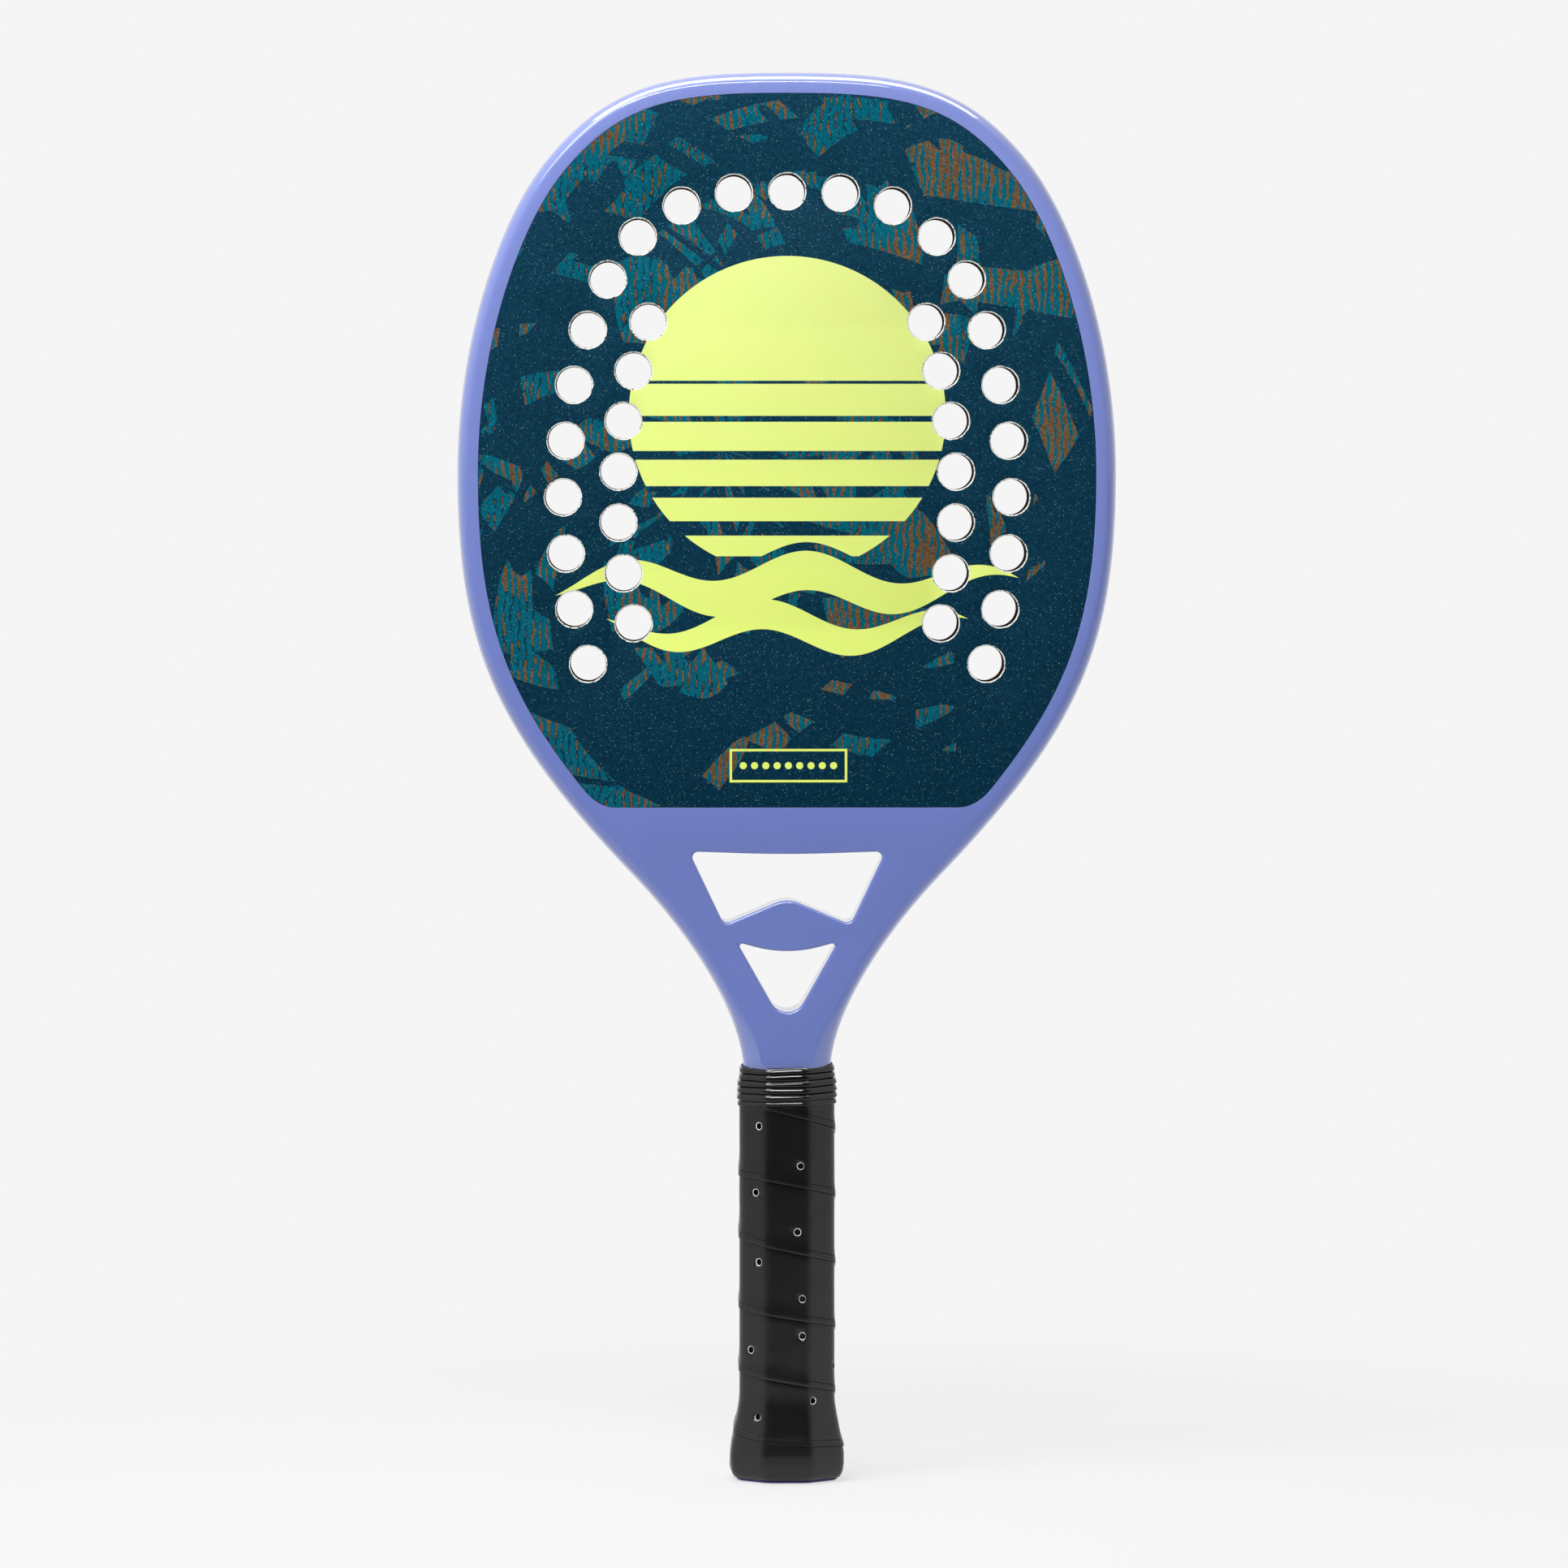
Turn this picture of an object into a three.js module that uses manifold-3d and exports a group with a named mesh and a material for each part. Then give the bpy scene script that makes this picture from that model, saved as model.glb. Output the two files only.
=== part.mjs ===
// A beach tennis racket, standing on its butt: +Z runs up its length, the front face looks along -Y.
// Units are millimetres. The origin is the middle of the butt's sole.
import * as THREE from "three";
import { mergeVertices } from "three/addons/utils/BufferGeometryUtils.js";
import Module from "manifold-3d";

const wasm = await Module();
wasm.setup();

// Outline seen from the front, from the sole up. Each rise is counted from the point below it.
const HANDLE_LENGTH = 150;
const THROAT_RISE = 65.3;
const LOWER_HEAD_RISE = 142.5;
const UPPER_HEAD_RISE = 110.8;
const CROWN_RISE = 31.4;
const HEAD_WIDTH = 233.8;
const SHOULDER_INSET = 31.4;
const SHOULDER_SLOPE_DEG = 51.3;
const THROAT_HALF_WIDTH = 54.5;
const THROAT_SLOPE_DEG = 46.3;
const NECK_STEP = 1;
const NECK_SLOPE_DEG = 82.4;

// Thickness of the head and section of the frame's tube
const HEAD_THICKNESS = 22;
const TUBE_WIDTH = 10.5;
const TUBE_WALL = 1.6;
const EDGE_BULGE = 4.6;
const EDGE_SQUARENESS = 0.85;
const LEAST_INWARD = 0.3;

// Faces, their border and the ledge under their foot
const RIM_WIDTH = 7.6;
const SKIN_THICKNESS = 1;
const FACE_CORNER = 6;
const BRIDGE_LEDGE = 4;

// Holes drilled through the head: two bent rows on each side, and an arch over them
const HOLE_DIAMETER = 12.8;
const ROW_MARGIN = 37.6;
const ROW_CENTRE_DROP = 7.9;
const OUTER_ROW_RADIUS = 201.8;
const ROW_GAP = 19.4;
const HOLE_PITCH = 19.95;
const HOLES_PER_ROW = 7;
const STAGGER_SHARE = 0.5;
const ARCH_SPACES = 5;
const ARCH_DROP = 42.2;

// Windows in the throat, from the neck up, and the walls left between them and the tube's legs
const CROTCH_HEIGHT = 17.6;
const LOWER_WINDOW_HEIGHT = 23.4;
const WEB_HEIGHT = 8;
const UPPER_WINDOW_HEIGHT = 24.6;
const BRIDGE_HEIGHT = 16.4;
const UPPER_WINDOW_TOP_WALL = 12.9;
const UPPER_WINDOW_FOOT_WALL = 4.4;
const LOWER_WINDOW_TOP_WALL = 3.6;
const LOWER_WINDOW_FOOT_WALL = 0.6;
const UPPER_WINDOW_APEX = 9;
const UPPER_WINDOW_SAG = 1.8;
const LOWER_WINDOW_SAG = 6;
const WINDOW_CORNER = 3.2;
const WINDOW_CHAMFER = 0.8;

// Handle: an octagon, wider across than from front to back
const HANDLE_WIDTH = 29.5;
const HANDLE_DEPTH = 25.5;
const HANDLE_BEVEL_ACROSS = 8.6;
const HANDLE_BEVEL_DEEP = 7;
const CAP_REBATE = 0.7;

// Butt cap and its staples
const CAP_HEIGHT = 27;
const CAP_FLARE = 3.6;
const CAP_FLOOR = 3;
const STAPLE_WIDTH = 9;
const STAPLE_LEG = 5.5;
const STAPLE_WIRE = 0.9;
const STAPLE_HEIGHT = 13;
const PLUG_LENGTH = 18;

// Wrap, tapes and collar
const WRAP_THICKNESS = 1.7;
const WRAP_END_THICKNESS = 1.1;
const WRAP_PITCH = 22.7;
const WRAP_START_STEPS = 4;
const WRAP_SLIT = 0.5;
const LAP_WIDTH = 3.5;
const LAP_THICKNESS = 0.5;
const WRAP_BOTTOM = 1.2;
const TAPE_THICKNESS = 0.25;
const FINISHING_TAPE_HEIGHT = 9;
const COLLAR_REVEAL = 1.1;
const COLLAR_HEIGHT = 14.6;
const COLLAR_WALL = 0.85;
const COLLAR_RIB = 0.45;
const COLLAR_WRAP_RIBS = 4;
const COLLAR_NECK_RIBS = 2;
const CORNER_EASE = 1.6;

// Clearances between bonded and wound pieces
const BOND_GAP = 0.3;
const TAPE_GAP = 0.1;
const SHARP_EASE = 0.1;
const CUT_OVERRUN = 4;
const MERGE_DISTANCE = 0.0003;

// How finely the curves are divided
const OUTLINE_STEPS = [8, 8, 12, 10];
const SIDE_STEPS = 4;
const CAVITY_STEPS = 2;
const HOLE_SIDES = 16;
const ARC_STEPS = 3;

// Colours and finishes
const finishes = {
  lacquer: { color: 0x7280c2, roughness: 0.32 },
  print: { color: 0x0d3345, roughness: 0.55 },
  foam: { color: 0x2a211d, roughness: 0.9 },
  plastic: { color: 0x2d196e, roughness: 0.4 },
  rubber: { color: 0x242424, roughness: 0.65 },
  wrap: { color: 0x1a1a1a, roughness: 0.6 },
  tape: { color: 0x1a1a1a, roughness: 0.45 },
  clothTape: { color: 0xd9d4c6, roughness: 0.7 },
  steel: { color: 0xb4b8bc, roughness: 0.3, metalness: 1 },
};

const HALF_THICKNESS = HEAD_THICKNESS / 2;
const SKIN_SEAT = HALF_THICKNESS - SKIN_THICKNESS;
const THROAT_HEIGHT = HANDLE_LENGTH + THROAT_RISE;
const WIDEST_HEIGHT = THROAT_HEIGHT + LOWER_HEAD_RISE;
const SHOULDER_HEIGHT = WIDEST_HEIGHT + UPPER_HEAD_RISE;
const LENGTH = SHOULDER_HEIGHT + CROWN_RISE;
const LOWER_WINDOW_FOOT = HANDLE_LENGTH + CROTCH_HEIGHT;
const LOWER_WINDOW_TOP = LOWER_WINDOW_FOOT + LOWER_WINDOW_HEIGHT;
const UPPER_WINDOW_FOOT = LOWER_WINDOW_TOP + WEB_HEIGHT;
const UPPER_WINDOW_TOP = UPPER_WINDOW_FOOT + UPPER_WINDOW_HEIGHT;
const FACE_BOTTOM = UPPER_WINDOW_TOP + BRIDGE_HEIGHT;
const COLLAR_TOP = HANDLE_LENGTH - COLLAR_REVEAL;
const LEG_FOOT = CAP_FLOOR + BOND_GAP;
const RIB_PITCH = COLLAR_HEIGHT / (COLLAR_WRAP_RIBS + COLLAR_NECK_RIBS);
const COLLAR_FOOT = COLLAR_TOP - COLLAR_HEIGHT;
const WRAP_TOP = COLLAR_FOOT + COLLAR_WRAP_RIBS * RIB_PITCH - TAPE_THICKNESS - TAPE_GAP - 2 * BOND_GAP;
const BRIDGE_TOP = FACE_BOTTOM + BRIDGE_LEDGE;
const BRIDGE_FOOT = (UPPER_WINDOW_TOP + UPPER_WINDOW_FOOT) / 2;
const DEPTH_BLEND_TOP = UPPER_WINDOW_FOOT;
const SECTION_BLEND_TOP = LOWER_WINDOW_FOOT + WINDOW_CORNER;

// A closed geometry as a solid that can be joined and cut
function solid(geometry) {
  const bare = new THREE.BufferGeometry();
  bare.setAttribute("position", geometry.getAttribute("position").clone());
  if (geometry.index) bare.setIndex(geometry.index.clone());
  const merged = mergeVertices(bare, MERGE_DISTANCE);
  return new wasm.Manifold(
    new wasm.Mesh({
      numProp: 3,
      vertProperties: merged.getAttribute("position").array,
      triVerts: new Uint32Array(merged.index.array),
    }),
  );
}

function meshOf(name, made, finish) {
  const body = made.getMesh();
  const geometry = new THREE.BufferGeometry();
  geometry.setAttribute("position", new THREE.BufferAttribute(body.vertProperties, body.numProp));
  geometry.setIndex(new THREE.BufferAttribute(body.triVerts, 1));
  geometry.computeVertexNormals();
  const mesh = new THREE.Mesh(geometry, new THREE.MeshStandardMaterial(finishes[finish]));
  mesh.name = name;
  return mesh;
}

// The triangles of a flat cap, turned the same way round as its contour
function capTriangles(contour) {
  const triangles = THREE.ShapeUtils.triangulateShape(contour, []);
  if (!THREE.ShapeUtils.isClockWise(contour)) return triangles;
  return triangles.map(([a, b, c]) => [a, c, b]);
}

// A solid through a row of closed loops with the same number of points, its two ends capped flat.
// flatten turns a loop's point into the two coordinates of its cap.
function loft(loops, flatten) {
  const count = loops[0].length;
  const positions = [];
  for (const loop of loops) {
    for (const point of loop) positions.push(point.x, point.y, point.z);
  }
  const index = [];
  for (let row = 0; row + 1 < loops.length; row++) {
    for (let i = 0; i < count; i++) {
      const next = (i + 1) % count;
      const a = row * count + i;
      const b = row * count + next;
      index.push(a, b, b + count, a, b + count, a + count);
    }
  }
  const lastRow = (loops.length - 1) * count;
  for (const [a, b, c] of capTriangles(loops[0].map(flatten))) index.push(a, c, b);
  for (const [a, b, c] of capTriangles(loops.at(-1).map(flatten))) {
    index.push(lastRow + a, lastRow + b, lastRow + c);
  }
  const geometry = new THREE.BufferGeometry();
  geometry.setAttribute("position", new THREE.Float32BufferAttribute(positions, 3));
  geometry.setIndex(index);
  const made = solid(geometry);
  if (made.volume() > 0) return made;
  geometry.setIndex(index.reverse());
  return solid(geometry);
}

const fromAbove = (point) => new THREE.Vector2(point.x, point.y);
const fromFront = (point) => new THREE.Vector2(point.x, point.z);

// A plate between two depths, from a front outline (x, z) and its holes
function plate(outline, nearDepth, farDepth, holes = []) {
  const shape = new THREE.Shape(outline);
  shape.holes = holes.map((hole) => new THREE.Path(hole));
  const geometry = new THREE.ExtrudeGeometry(shape, { depth: farDepth - nearDepth, bevelEnabled: false });
  geometry.rotateX(Math.PI / 2);
  geometry.translate(0, farDepth, 0);
  return solid(geometry);
}

function box(low, high) {
  const size = high.clone().sub(low);
  const geometry = new THREE.BoxGeometry(size.x, size.y, size.z);
  geometry.translate(low.x + size.x / 2, low.y + size.y / 2, low.z + size.z / 2);
  return solid(geometry);
}

// The slab of space between two heights
function between(lowHeight, highHeight) {
  return box(
    new THREE.Vector3(-HEAD_WIDTH, -HEAD_WIDTH, lowHeight),
    new THREE.Vector3(HEAD_WIDTH, HEAD_WIDTH, highHeight),
  );
}

const mirrored = (points) => points.map((point) => new THREE.Vector2(-point.x, point.y)).reverse();
const mix = THREE.MathUtils.lerp;

// The right half of the outline, from the crown to the neck. A slope is counted from level, falling
// away from the middle (1) or towards it (-1).
const slopeOf = (degrees, way) => {
  const angle = THREE.MathUtils.degToRad(degrees);
  return new THREE.Vector2(way * Math.cos(angle), -Math.sin(angle));
};
const outlineKnots = [
  { at: new THREE.Vector2(0, LENGTH), along: slopeOf(0, 1) },
  {
    at: new THREE.Vector2(HEAD_WIDTH / 2 - SHOULDER_INSET, SHOULDER_HEIGHT),
    along: slopeOf(SHOULDER_SLOPE_DEG, 1),
  },
  { at: new THREE.Vector2(HEAD_WIDTH / 2, WIDEST_HEIGHT), along: new THREE.Vector2(0, -1) },
  { at: new THREE.Vector2(THROAT_HALF_WIDTH, THROAT_HEIGHT), along: slopeOf(THROAT_SLOPE_DEG, -1) },
  {
    at: new THREE.Vector2(HANDLE_WIDTH / 2 + NECK_STEP, HANDLE_LENGTH),
    along: slopeOf(NECK_SLOPE_DEG, -1),
  },
];
// Each stretch's two Bezier handles, as shares of the distance between its ends
const handleShares = [
  [0.426, 0.409],
  [0.2215, 0.418],
  [0.387, 0.465],
  [0.4255, 0.2236],
];
const outlineCurves = handleShares.map(([startShare, endShare], i) => {
  const start = outlineKnots[i];
  const end = outlineKnots[i + 1];
  const reach = start.at.distanceTo(end.at);
  return new THREE.CubicBezierCurve(
    start.at,
    start.at.clone().addScaledVector(start.along, reach * startShare),
    end.at.clone().addScaledVector(end.along, -reach * endShare),
    end.at,
  );
});

// The octagon of the handle, with every facet moved outwards by the same amount
function octagon(offset) {
  const slant = Math.hypot(HANDLE_BEVEL_ACROSS, HANDLE_BEVEL_DEEP);
  const frontGrowth = (offset * (slant - HANDLE_BEVEL_ACROSS)) / HANDLE_BEVEL_DEEP;
  const sideGrowth = (offset * (slant - HANDLE_BEVEL_DEEP)) / HANDLE_BEVEL_ACROSS;
  return {
    halfWidth: HANDLE_WIDTH / 2 + offset,
    halfDepth: HANDLE_DEPTH / 2 + offset,
    frontHalf: HANDLE_WIDTH / 2 - HANDLE_BEVEL_ACROSS + frontGrowth,
    sideHalf: HANDLE_DEPTH / 2 - HANDLE_BEVEL_DEEP + sideGrowth,
  };
}

// The loop round the handle at one height: each corner is eased to a short facet
function octagonLoop(offset, height, ease) {
  const { halfWidth, halfDepth, frontHalf, sideHalf } = octagon(offset);
  const corners = [
    new THREE.Vector3(frontHalf, -halfDepth, height),
    new THREE.Vector3(halfWidth, -sideHalf, height),
    new THREE.Vector3(halfWidth, sideHalf, height),
    new THREE.Vector3(frontHalf, halfDepth, height),
    new THREE.Vector3(-frontHalf, halfDepth, height),
    new THREE.Vector3(-halfWidth, sideHalf, height),
    new THREE.Vector3(-halfWidth, -sideHalf, height),
    new THREE.Vector3(-frontHalf, -halfDepth, height),
  ];
  return corners.flatMap((corner, i) => {
    const before = corners.at(i - 1).clone().sub(corner).setLength(ease);
    const after = corners[(i + 1) % corners.length].clone().sub(corner).setLength(ease);
    return [before.add(corner), after.add(corner)];
  });
}

const blendBelow = (height, top, bottom) => 1 - THREE.MathUtils.smoothstep(height, bottom, top);

// How deep the racket is at a height above the neck
function halfDepthAt(height) {
  const neckShare = blendBelow(height, DEPTH_BLEND_TOP, HANDLE_LENGTH);
  return mix(HALF_THICKNESS, octagon(NECK_STEP).halfDepth, neckShare);
}

// Stations of the frame's right half: a point of the outline, the way inwards and the tube's section there
function curveStation(curve, share) {
  const at = curve.getPointAt(share);
  const along = curve.getTangentAt(share);
  const inward = new THREE.Vector2(along.y, -along.x);
  const octagonShare = blendBelow(at.y, SECTION_BLEND_TOP, HANDLE_LENGTH);
  const toMiddle = (at.x - BOND_GAP / 2) / Math.max(-inward.x, LEAST_INWARD);
  return {
    at,
    inward,
    octagonShare,
    offset: NECK_STEP,
    halfDepth: halfDepthAt(at.y),
    width: mix(TUBE_WIDTH, toMiddle, octagonShare),
  };
}

function handleStation(height, offset) {
  const { halfWidth, halfDepth } = octagon(offset);
  return {
    at: new THREE.Vector2(halfWidth, height),
    inward: new THREE.Vector2(-1, 0),
    octagonShare: 1,
    offset,
    halfDepth,
    width: halfWidth - BOND_GAP / 2,
  };
}

const headStations = outlineCurves.flatMap((curve, i) => {
  const steps = OUTLINE_STEPS[i];
  return Array.from({ length: steps }, (_, k) => curveStation(curve, k / steps));
});
const handleStations = [
  handleStation(HANDLE_LENGTH, NECK_STEP),
  handleStation(WRAP_TOP + BOND_GAP, 0),
  handleStation(CAP_HEIGHT + 2 * BOND_GAP, 0),
  handleStation(CAP_HEIGHT + BOND_GAP, -CAP_REBATE),
  handleStation(LEG_FOOT, -CAP_REBATE),
];
const rightStations = [...headStations, ...handleStations];

// One closed section of the tube, from its inner front corner round the outside to its inner back corner
function sectionLoop(station, inset, steps, side) {
  const { halfWidth, halfDepth, frontHalf, sideHalf } = octagon(station.offset - inset);
  const roundHalf = station.halfDepth - inset;
  const bulge = EDGE_BULGE - inset / 2;
  const flat = [];
  for (let k = -steps; k <= steps; k++) {
    const share = Math.abs(k) / steps;
    const angle = (share * Math.PI) / 2;
    const round = new THREE.Vector2(
      bulge * (1 - Math.cos(angle) ** EDGE_SQUARENESS),
      roundHalf * Math.sin(angle) ** EDGE_SQUARENESS,
    );
    const sideShare = Math.min(1, share * 2);
    const bevelShare = Math.max(0, share * 2 - 1);
    const faceted = new THREE.Vector2(
      bevelShare * (halfWidth - frontHalf),
      mix(sideHalf * sideShare, halfDepth, bevelShare),
    );
    const point = round.lerp(faceted, station.octagonShare);
    flat.push(new THREE.Vector2(inset + point.x, Math.sign(k) * point.y));
  }
  const depth = flat.at(-1).y;
  const wall = station.width - inset;
  const loop = [new THREE.Vector2(wall, -depth), ...flat, new THREE.Vector2(wall, depth)];
  return loop.map(({ x: inwards, y: deep }) => {
    const place = station.at.clone().addScaledVector(station.inward, inwards);
    return new THREE.Vector3(side * place.x, deep, place.y);
  });
}

// Both legs and the hoop as one row of loops, from the left foot over the crown to the right foot
function hairpin(stations, inset, steps) {
  const left = stations.slice(1).reverse();
  return [
    ...left.map((station) => sectionLoop(station, inset, steps, -1)),
    ...stations.map((station) => sectionLoop(station, inset, steps, 1)),
  ];
}

const lowered = (loop, by) => loop.map((point) => point.clone().setZ(point.z - by));

// The outline moved inwards by an amount that may change along it
function innerLine(stations, insetOf) {
  return stations.map((station) => station.at.clone().addScaledVector(station.inward, insetOf(station)));
}

// The part of a falling line above a height, ending exactly on it
function lineAbove(line, height) {
  const kept = line.filter((point) => point.y > height);
  const before = kept.at(-1);
  const after = line[kept.length];
  kept.push(before.clone().lerp(after, (before.y - height) / (before.y - after.y)));
  return kept;
}

// The painted border's inner line: the face's edge, with its straight foot and rounded corners
function faceOutline(grow) {
  const foot = FACE_BOTTOM - grow;
  const line = innerLine(headStations, () => RIM_WIDTH - grow);
  const kept = lineAbove(line, foot + FACE_CORNER);
  const corner = lineAbove(line, foot).at(-1);
  const end = new THREE.Vector2(corner.x - FACE_CORNER, foot);
  const round = new THREE.QuadraticBezierCurve(kept.at(-1), corner, end);
  const right = [...kept.slice(0, -1), ...round.getPoints(ARC_STEPS)];
  return [...right, ...mirrored(right.slice(1))];
}

// Centres of the drilled holes
function holeCentres() {
  const pitchAngle = HOLE_PITCH / OUTER_ROW_RADIUS;
  const middle = new THREE.Vector2(
    HEAD_WIDTH / 2 - ROW_MARGIN - OUTER_ROW_RADIUS,
    WIDEST_HEIGHT - ROW_CENTRE_DROP,
  );
  const onRow = (radius, angle) =>
    new THREE.Vector2(radius * Math.cos(angle), radius * Math.sin(angle)).add(middle);
  const half = (HOLES_PER_ROW - 1) / 2;
  const steps = Array.from({ length: HOLES_PER_ROW }, (_, k) => k - half);
  const outer = steps.map((step) => onRow(OUTER_ROW_RADIUS, step * pitchAngle));
  const inner = steps.map((step) => onRow(OUTER_ROW_RADIUS - ROW_GAP, (step + STAGGER_SHARE) * pitchAngle));
  const top = outer.at(-1);
  const crown = new THREE.Vector2(0, LENGTH - ARCH_DROP);
  const rise = crown.y - top.y;
  const tangent = new THREE.Vector2(Math.sin(half * pitchAngle), -Math.cos(half * pitchAngle));
  const archShares = { crown: 0.48, foot: 1.08 };
  const arch = new THREE.CubicBezierCurve(
    crown,
    new THREE.Vector2(rise * archShares.crown, crown.y),
    top.clone().addScaledVector(tangent, -rise * archShares.foot),
    top,
  );
  const over = arch.getSpacedPoints(ARCH_SPACES).slice(1, -1);
  const right = [...over, ...outer, ...inner];
  return [crown, ...right, ...mirrored(right)];
}

function circle(centre, diameter) {
  const arc = new THREE.EllipseCurve(centre.x, centre.y, diameter / 2, diameter / 2);
  return arc.getPoints(HOLE_SIDES).slice(0, -1);
}

// A closed outline whose corners, each with its own setback, are rounded
function rounded(corners) {
  return corners.flatMap(([x, y, setback], i) => {
    const corner = new THREE.Vector2(x, y);
    const [beforeX, beforeY] = corners.at(i - 1);
    const [afterX, afterY] = corners[(i + 1) % corners.length];
    const before = new THREE.Vector2(beforeX, beforeY).sub(corner).setLength(setback).add(corner);
    const after = new THREE.Vector2(afterX, afterY).sub(corner).setLength(setback).add(corner);
    return new THREE.QuadraticBezierCurve(before, corner, after).getPoints(ARC_STEPS);
  });
}

// How far a window's edge rounds off beside its apex and beside its sagging top, as shares of its half width
const setbackShares = { apex: 0.25, top: 0.5 };

// Half the room between the tube's legs at a height, less a wall
function halfRoom(height, wall) {
  const line = innerLine(headStations, (station) => station.width + BOND_GAP);
  return lineAbove(line, height).at(-1).x - wall;
}

function upperWindow() {
  const topHalf = halfRoom(UPPER_WINDOW_TOP, UPPER_WINDOW_TOP_WALL);
  const footHalf = halfRoom(UPPER_WINDOW_FOOT, UPPER_WINDOW_FOOT_WALL);
  return rounded([
    [-topHalf, UPPER_WINDOW_TOP, WINDOW_CORNER],
    [-footHalf, UPPER_WINDOW_FOOT, WINDOW_CORNER],
    [0, UPPER_WINDOW_FOOT + UPPER_WINDOW_APEX, footHalf * setbackShares.apex],
    [footHalf, UPPER_WINDOW_FOOT, WINDOW_CORNER],
    [topHalf, UPPER_WINDOW_TOP, WINDOW_CORNER],
    [0, UPPER_WINDOW_TOP - UPPER_WINDOW_SAG, topHalf * setbackShares.top],
  ]);
}

function lowerWindow() {
  const topHalf = halfRoom(LOWER_WINDOW_TOP, LOWER_WINDOW_TOP_WALL);
  const footHalf = halfRoom(LOWER_WINDOW_FOOT, LOWER_WINDOW_FOOT_WALL);
  return rounded([
    [-topHalf, LOWER_WINDOW_TOP, WINDOW_CORNER],
    [-footHalf, LOWER_WINDOW_FOOT, WINDOW_CORNER],
    [footHalf, LOWER_WINDOW_FOOT, WINDOW_CORNER],
    [topHalf, LOWER_WINDOW_TOP, WINDOW_CORNER],
    [0, LOWER_WINDOW_TOP - LOWER_WINDOW_SAG, topHalf * setbackShares.top],
  ]);
}

// A loop of points moved outwards from its own middle line by an amount
function grown(points, by) {
  return points.map((point, i) => {
    const before = points.at(i - 1);
    const after = points[(i + 1) % points.length];
    const along = after.clone().sub(before).normalize();
    return point.clone().add(new THREE.Vector2(along.y, -along.x).multiplyScalar(by));
  });
}

// What cuts a window: straight through, and flared at both faces to leave a chamfer
function windowCutter(points) {
  const face = halfDepthAt(points[0].y);
  const past = face + CUT_OVERRUN;
  const flare = WINDOW_CHAMFER + CUT_OVERRUN;
  const levels = [
    [-past, flare],
    [WINDOW_CHAMFER - face, 0],
    [face - WINDOW_CHAMFER, 0],
    [past, flare],
  ];
  const loops = levels.map(([depth, by]) =>
    grown(points, by).map((point) => new THREE.Vector3(point.x, depth, point.y)),
  );
  return loft(loops, fromFront);
}

function frameTube() {
  const shell = loft(hairpin(rightStations, 0, SIDE_STEPS), fromAbove);
  const loops = hairpin(rightStations, TUBE_WALL, CAVITY_STEPS);
  const first = lowered(loops[0], CUT_OVERRUN);
  const last = lowered(loops.at(-1), CUT_OVERRUN);
  const cavity = loft([first, ...loops, last], fromAbove);
  return shell.subtract(cavity);
}

// The pockets that the two skins lie in
function skinPockets() {
  const outline = faceOutline(BOND_GAP);
  const front = plate(outline, -SKIN_SEAT - CUT_OVERRUN, -SKIN_SEAT);
  return front.add(plate(outline, SKIN_SEAT, SKIN_SEAT + CUT_OVERRUN));
}

function throatBlank() {
  const line = innerLine(headStations, (station) => station.width + BOND_GAP);
  const top = lineAbove(line, BRIDGE_TOP).at(-1);
  const side = line.filter((point) => point.y < BRIDGE_TOP && point.x > BOND_GAP);
  const last = side.at(-1);
  const past = line[line.indexOf(last) + 1] ?? new THREE.Vector2(0, HANDLE_LENGTH);
  const tip = last.clone().lerp(past, (last.x - BOND_GAP) / (last.x - past.x));
  const outline = [top, ...side, tip];
  const sides = [];
  const steps = OUTLINE_STEPS.at(-1);
  for (let k = 0; k <= steps; k++) {
    const height = mix(BRIDGE_TOP, HANDLE_LENGTH, k / steps);
    sides.push(new THREE.Vector2(height, halfDepthAt(height)));
  }
  const thick = octagon(NECK_STEP).halfDepth;
  const block = plate([...outline, ...mirrored(outline)], -thick, thick);
  const loops = sides.map(({ x: height, y: half }) => [
    new THREE.Vector3(-HEAD_WIDTH / 2, -half, height),
    new THREE.Vector3(HEAD_WIDTH / 2, -half, height),
    new THREE.Vector3(HEAD_WIDTH / 2, half, height),
    new THREE.Vector3(-HEAD_WIDTH / 2, half, height),
  ]);
  return block.intersect(loft(loops, fromAbove));
}

// The slab of foam that fills the hoop
function foamCore(holes) {
  const foot = BRIDGE_TOP + BOND_GAP;
  const right = lineAbove(innerLine(headStations, () => TUBE_WIDTH + BOND_GAP), foot);
  return plate([...right, ...mirrored(right.slice(1))], -SKIN_SEAT, SKIN_SEAT, holes);
}

function legPlug(side) {
  const inset = TUBE_WALL + BOND_GAP;
  const foot = handleStation(LEG_FOOT, -CAP_REBATE);
  const top = handleStation(LEG_FOOT + PLUG_LENGTH, -CAP_REBATE);
  const loops = [foot, top].map((station) => sectionLoop(station, inset, CAVITY_STEPS, side));
  return loft(loops, fromAbove);
}

// A staple: a crown along the butt's side and two legs inwards. grow widens it for the slot that it sits in.
function capStaple(side, grow) {
  const outside = HANDLE_WIDTH / 2 + CAP_FLARE / 2 + grow;
  const crown = STAPLE_WIRE + 2 * grow;
  const half = STAPLE_WIDTH / 2 + grow;
  const leg = STAPLE_LEG + 2 * grow;
  const outline = [
    [0, -half],
    [0, half],
    [-leg, half],
    [-leg, half - crown],
    [-crown, half - crown],
    [-crown, crown - half],
    [-leg, crown - half],
    [-leg, -half],
  ];
  const points = outline.map(([across, deep]) => new THREE.Vector2(side * (outside + across), deep));
  const geometry = new THREE.ExtrudeGeometry(new THREE.Shape(points), { depth: crown, bevelEnabled: false });
  geometry.translate(0, 0, STAPLE_HEIGHT - crown / 2);
  return solid(geometry);
}

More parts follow.
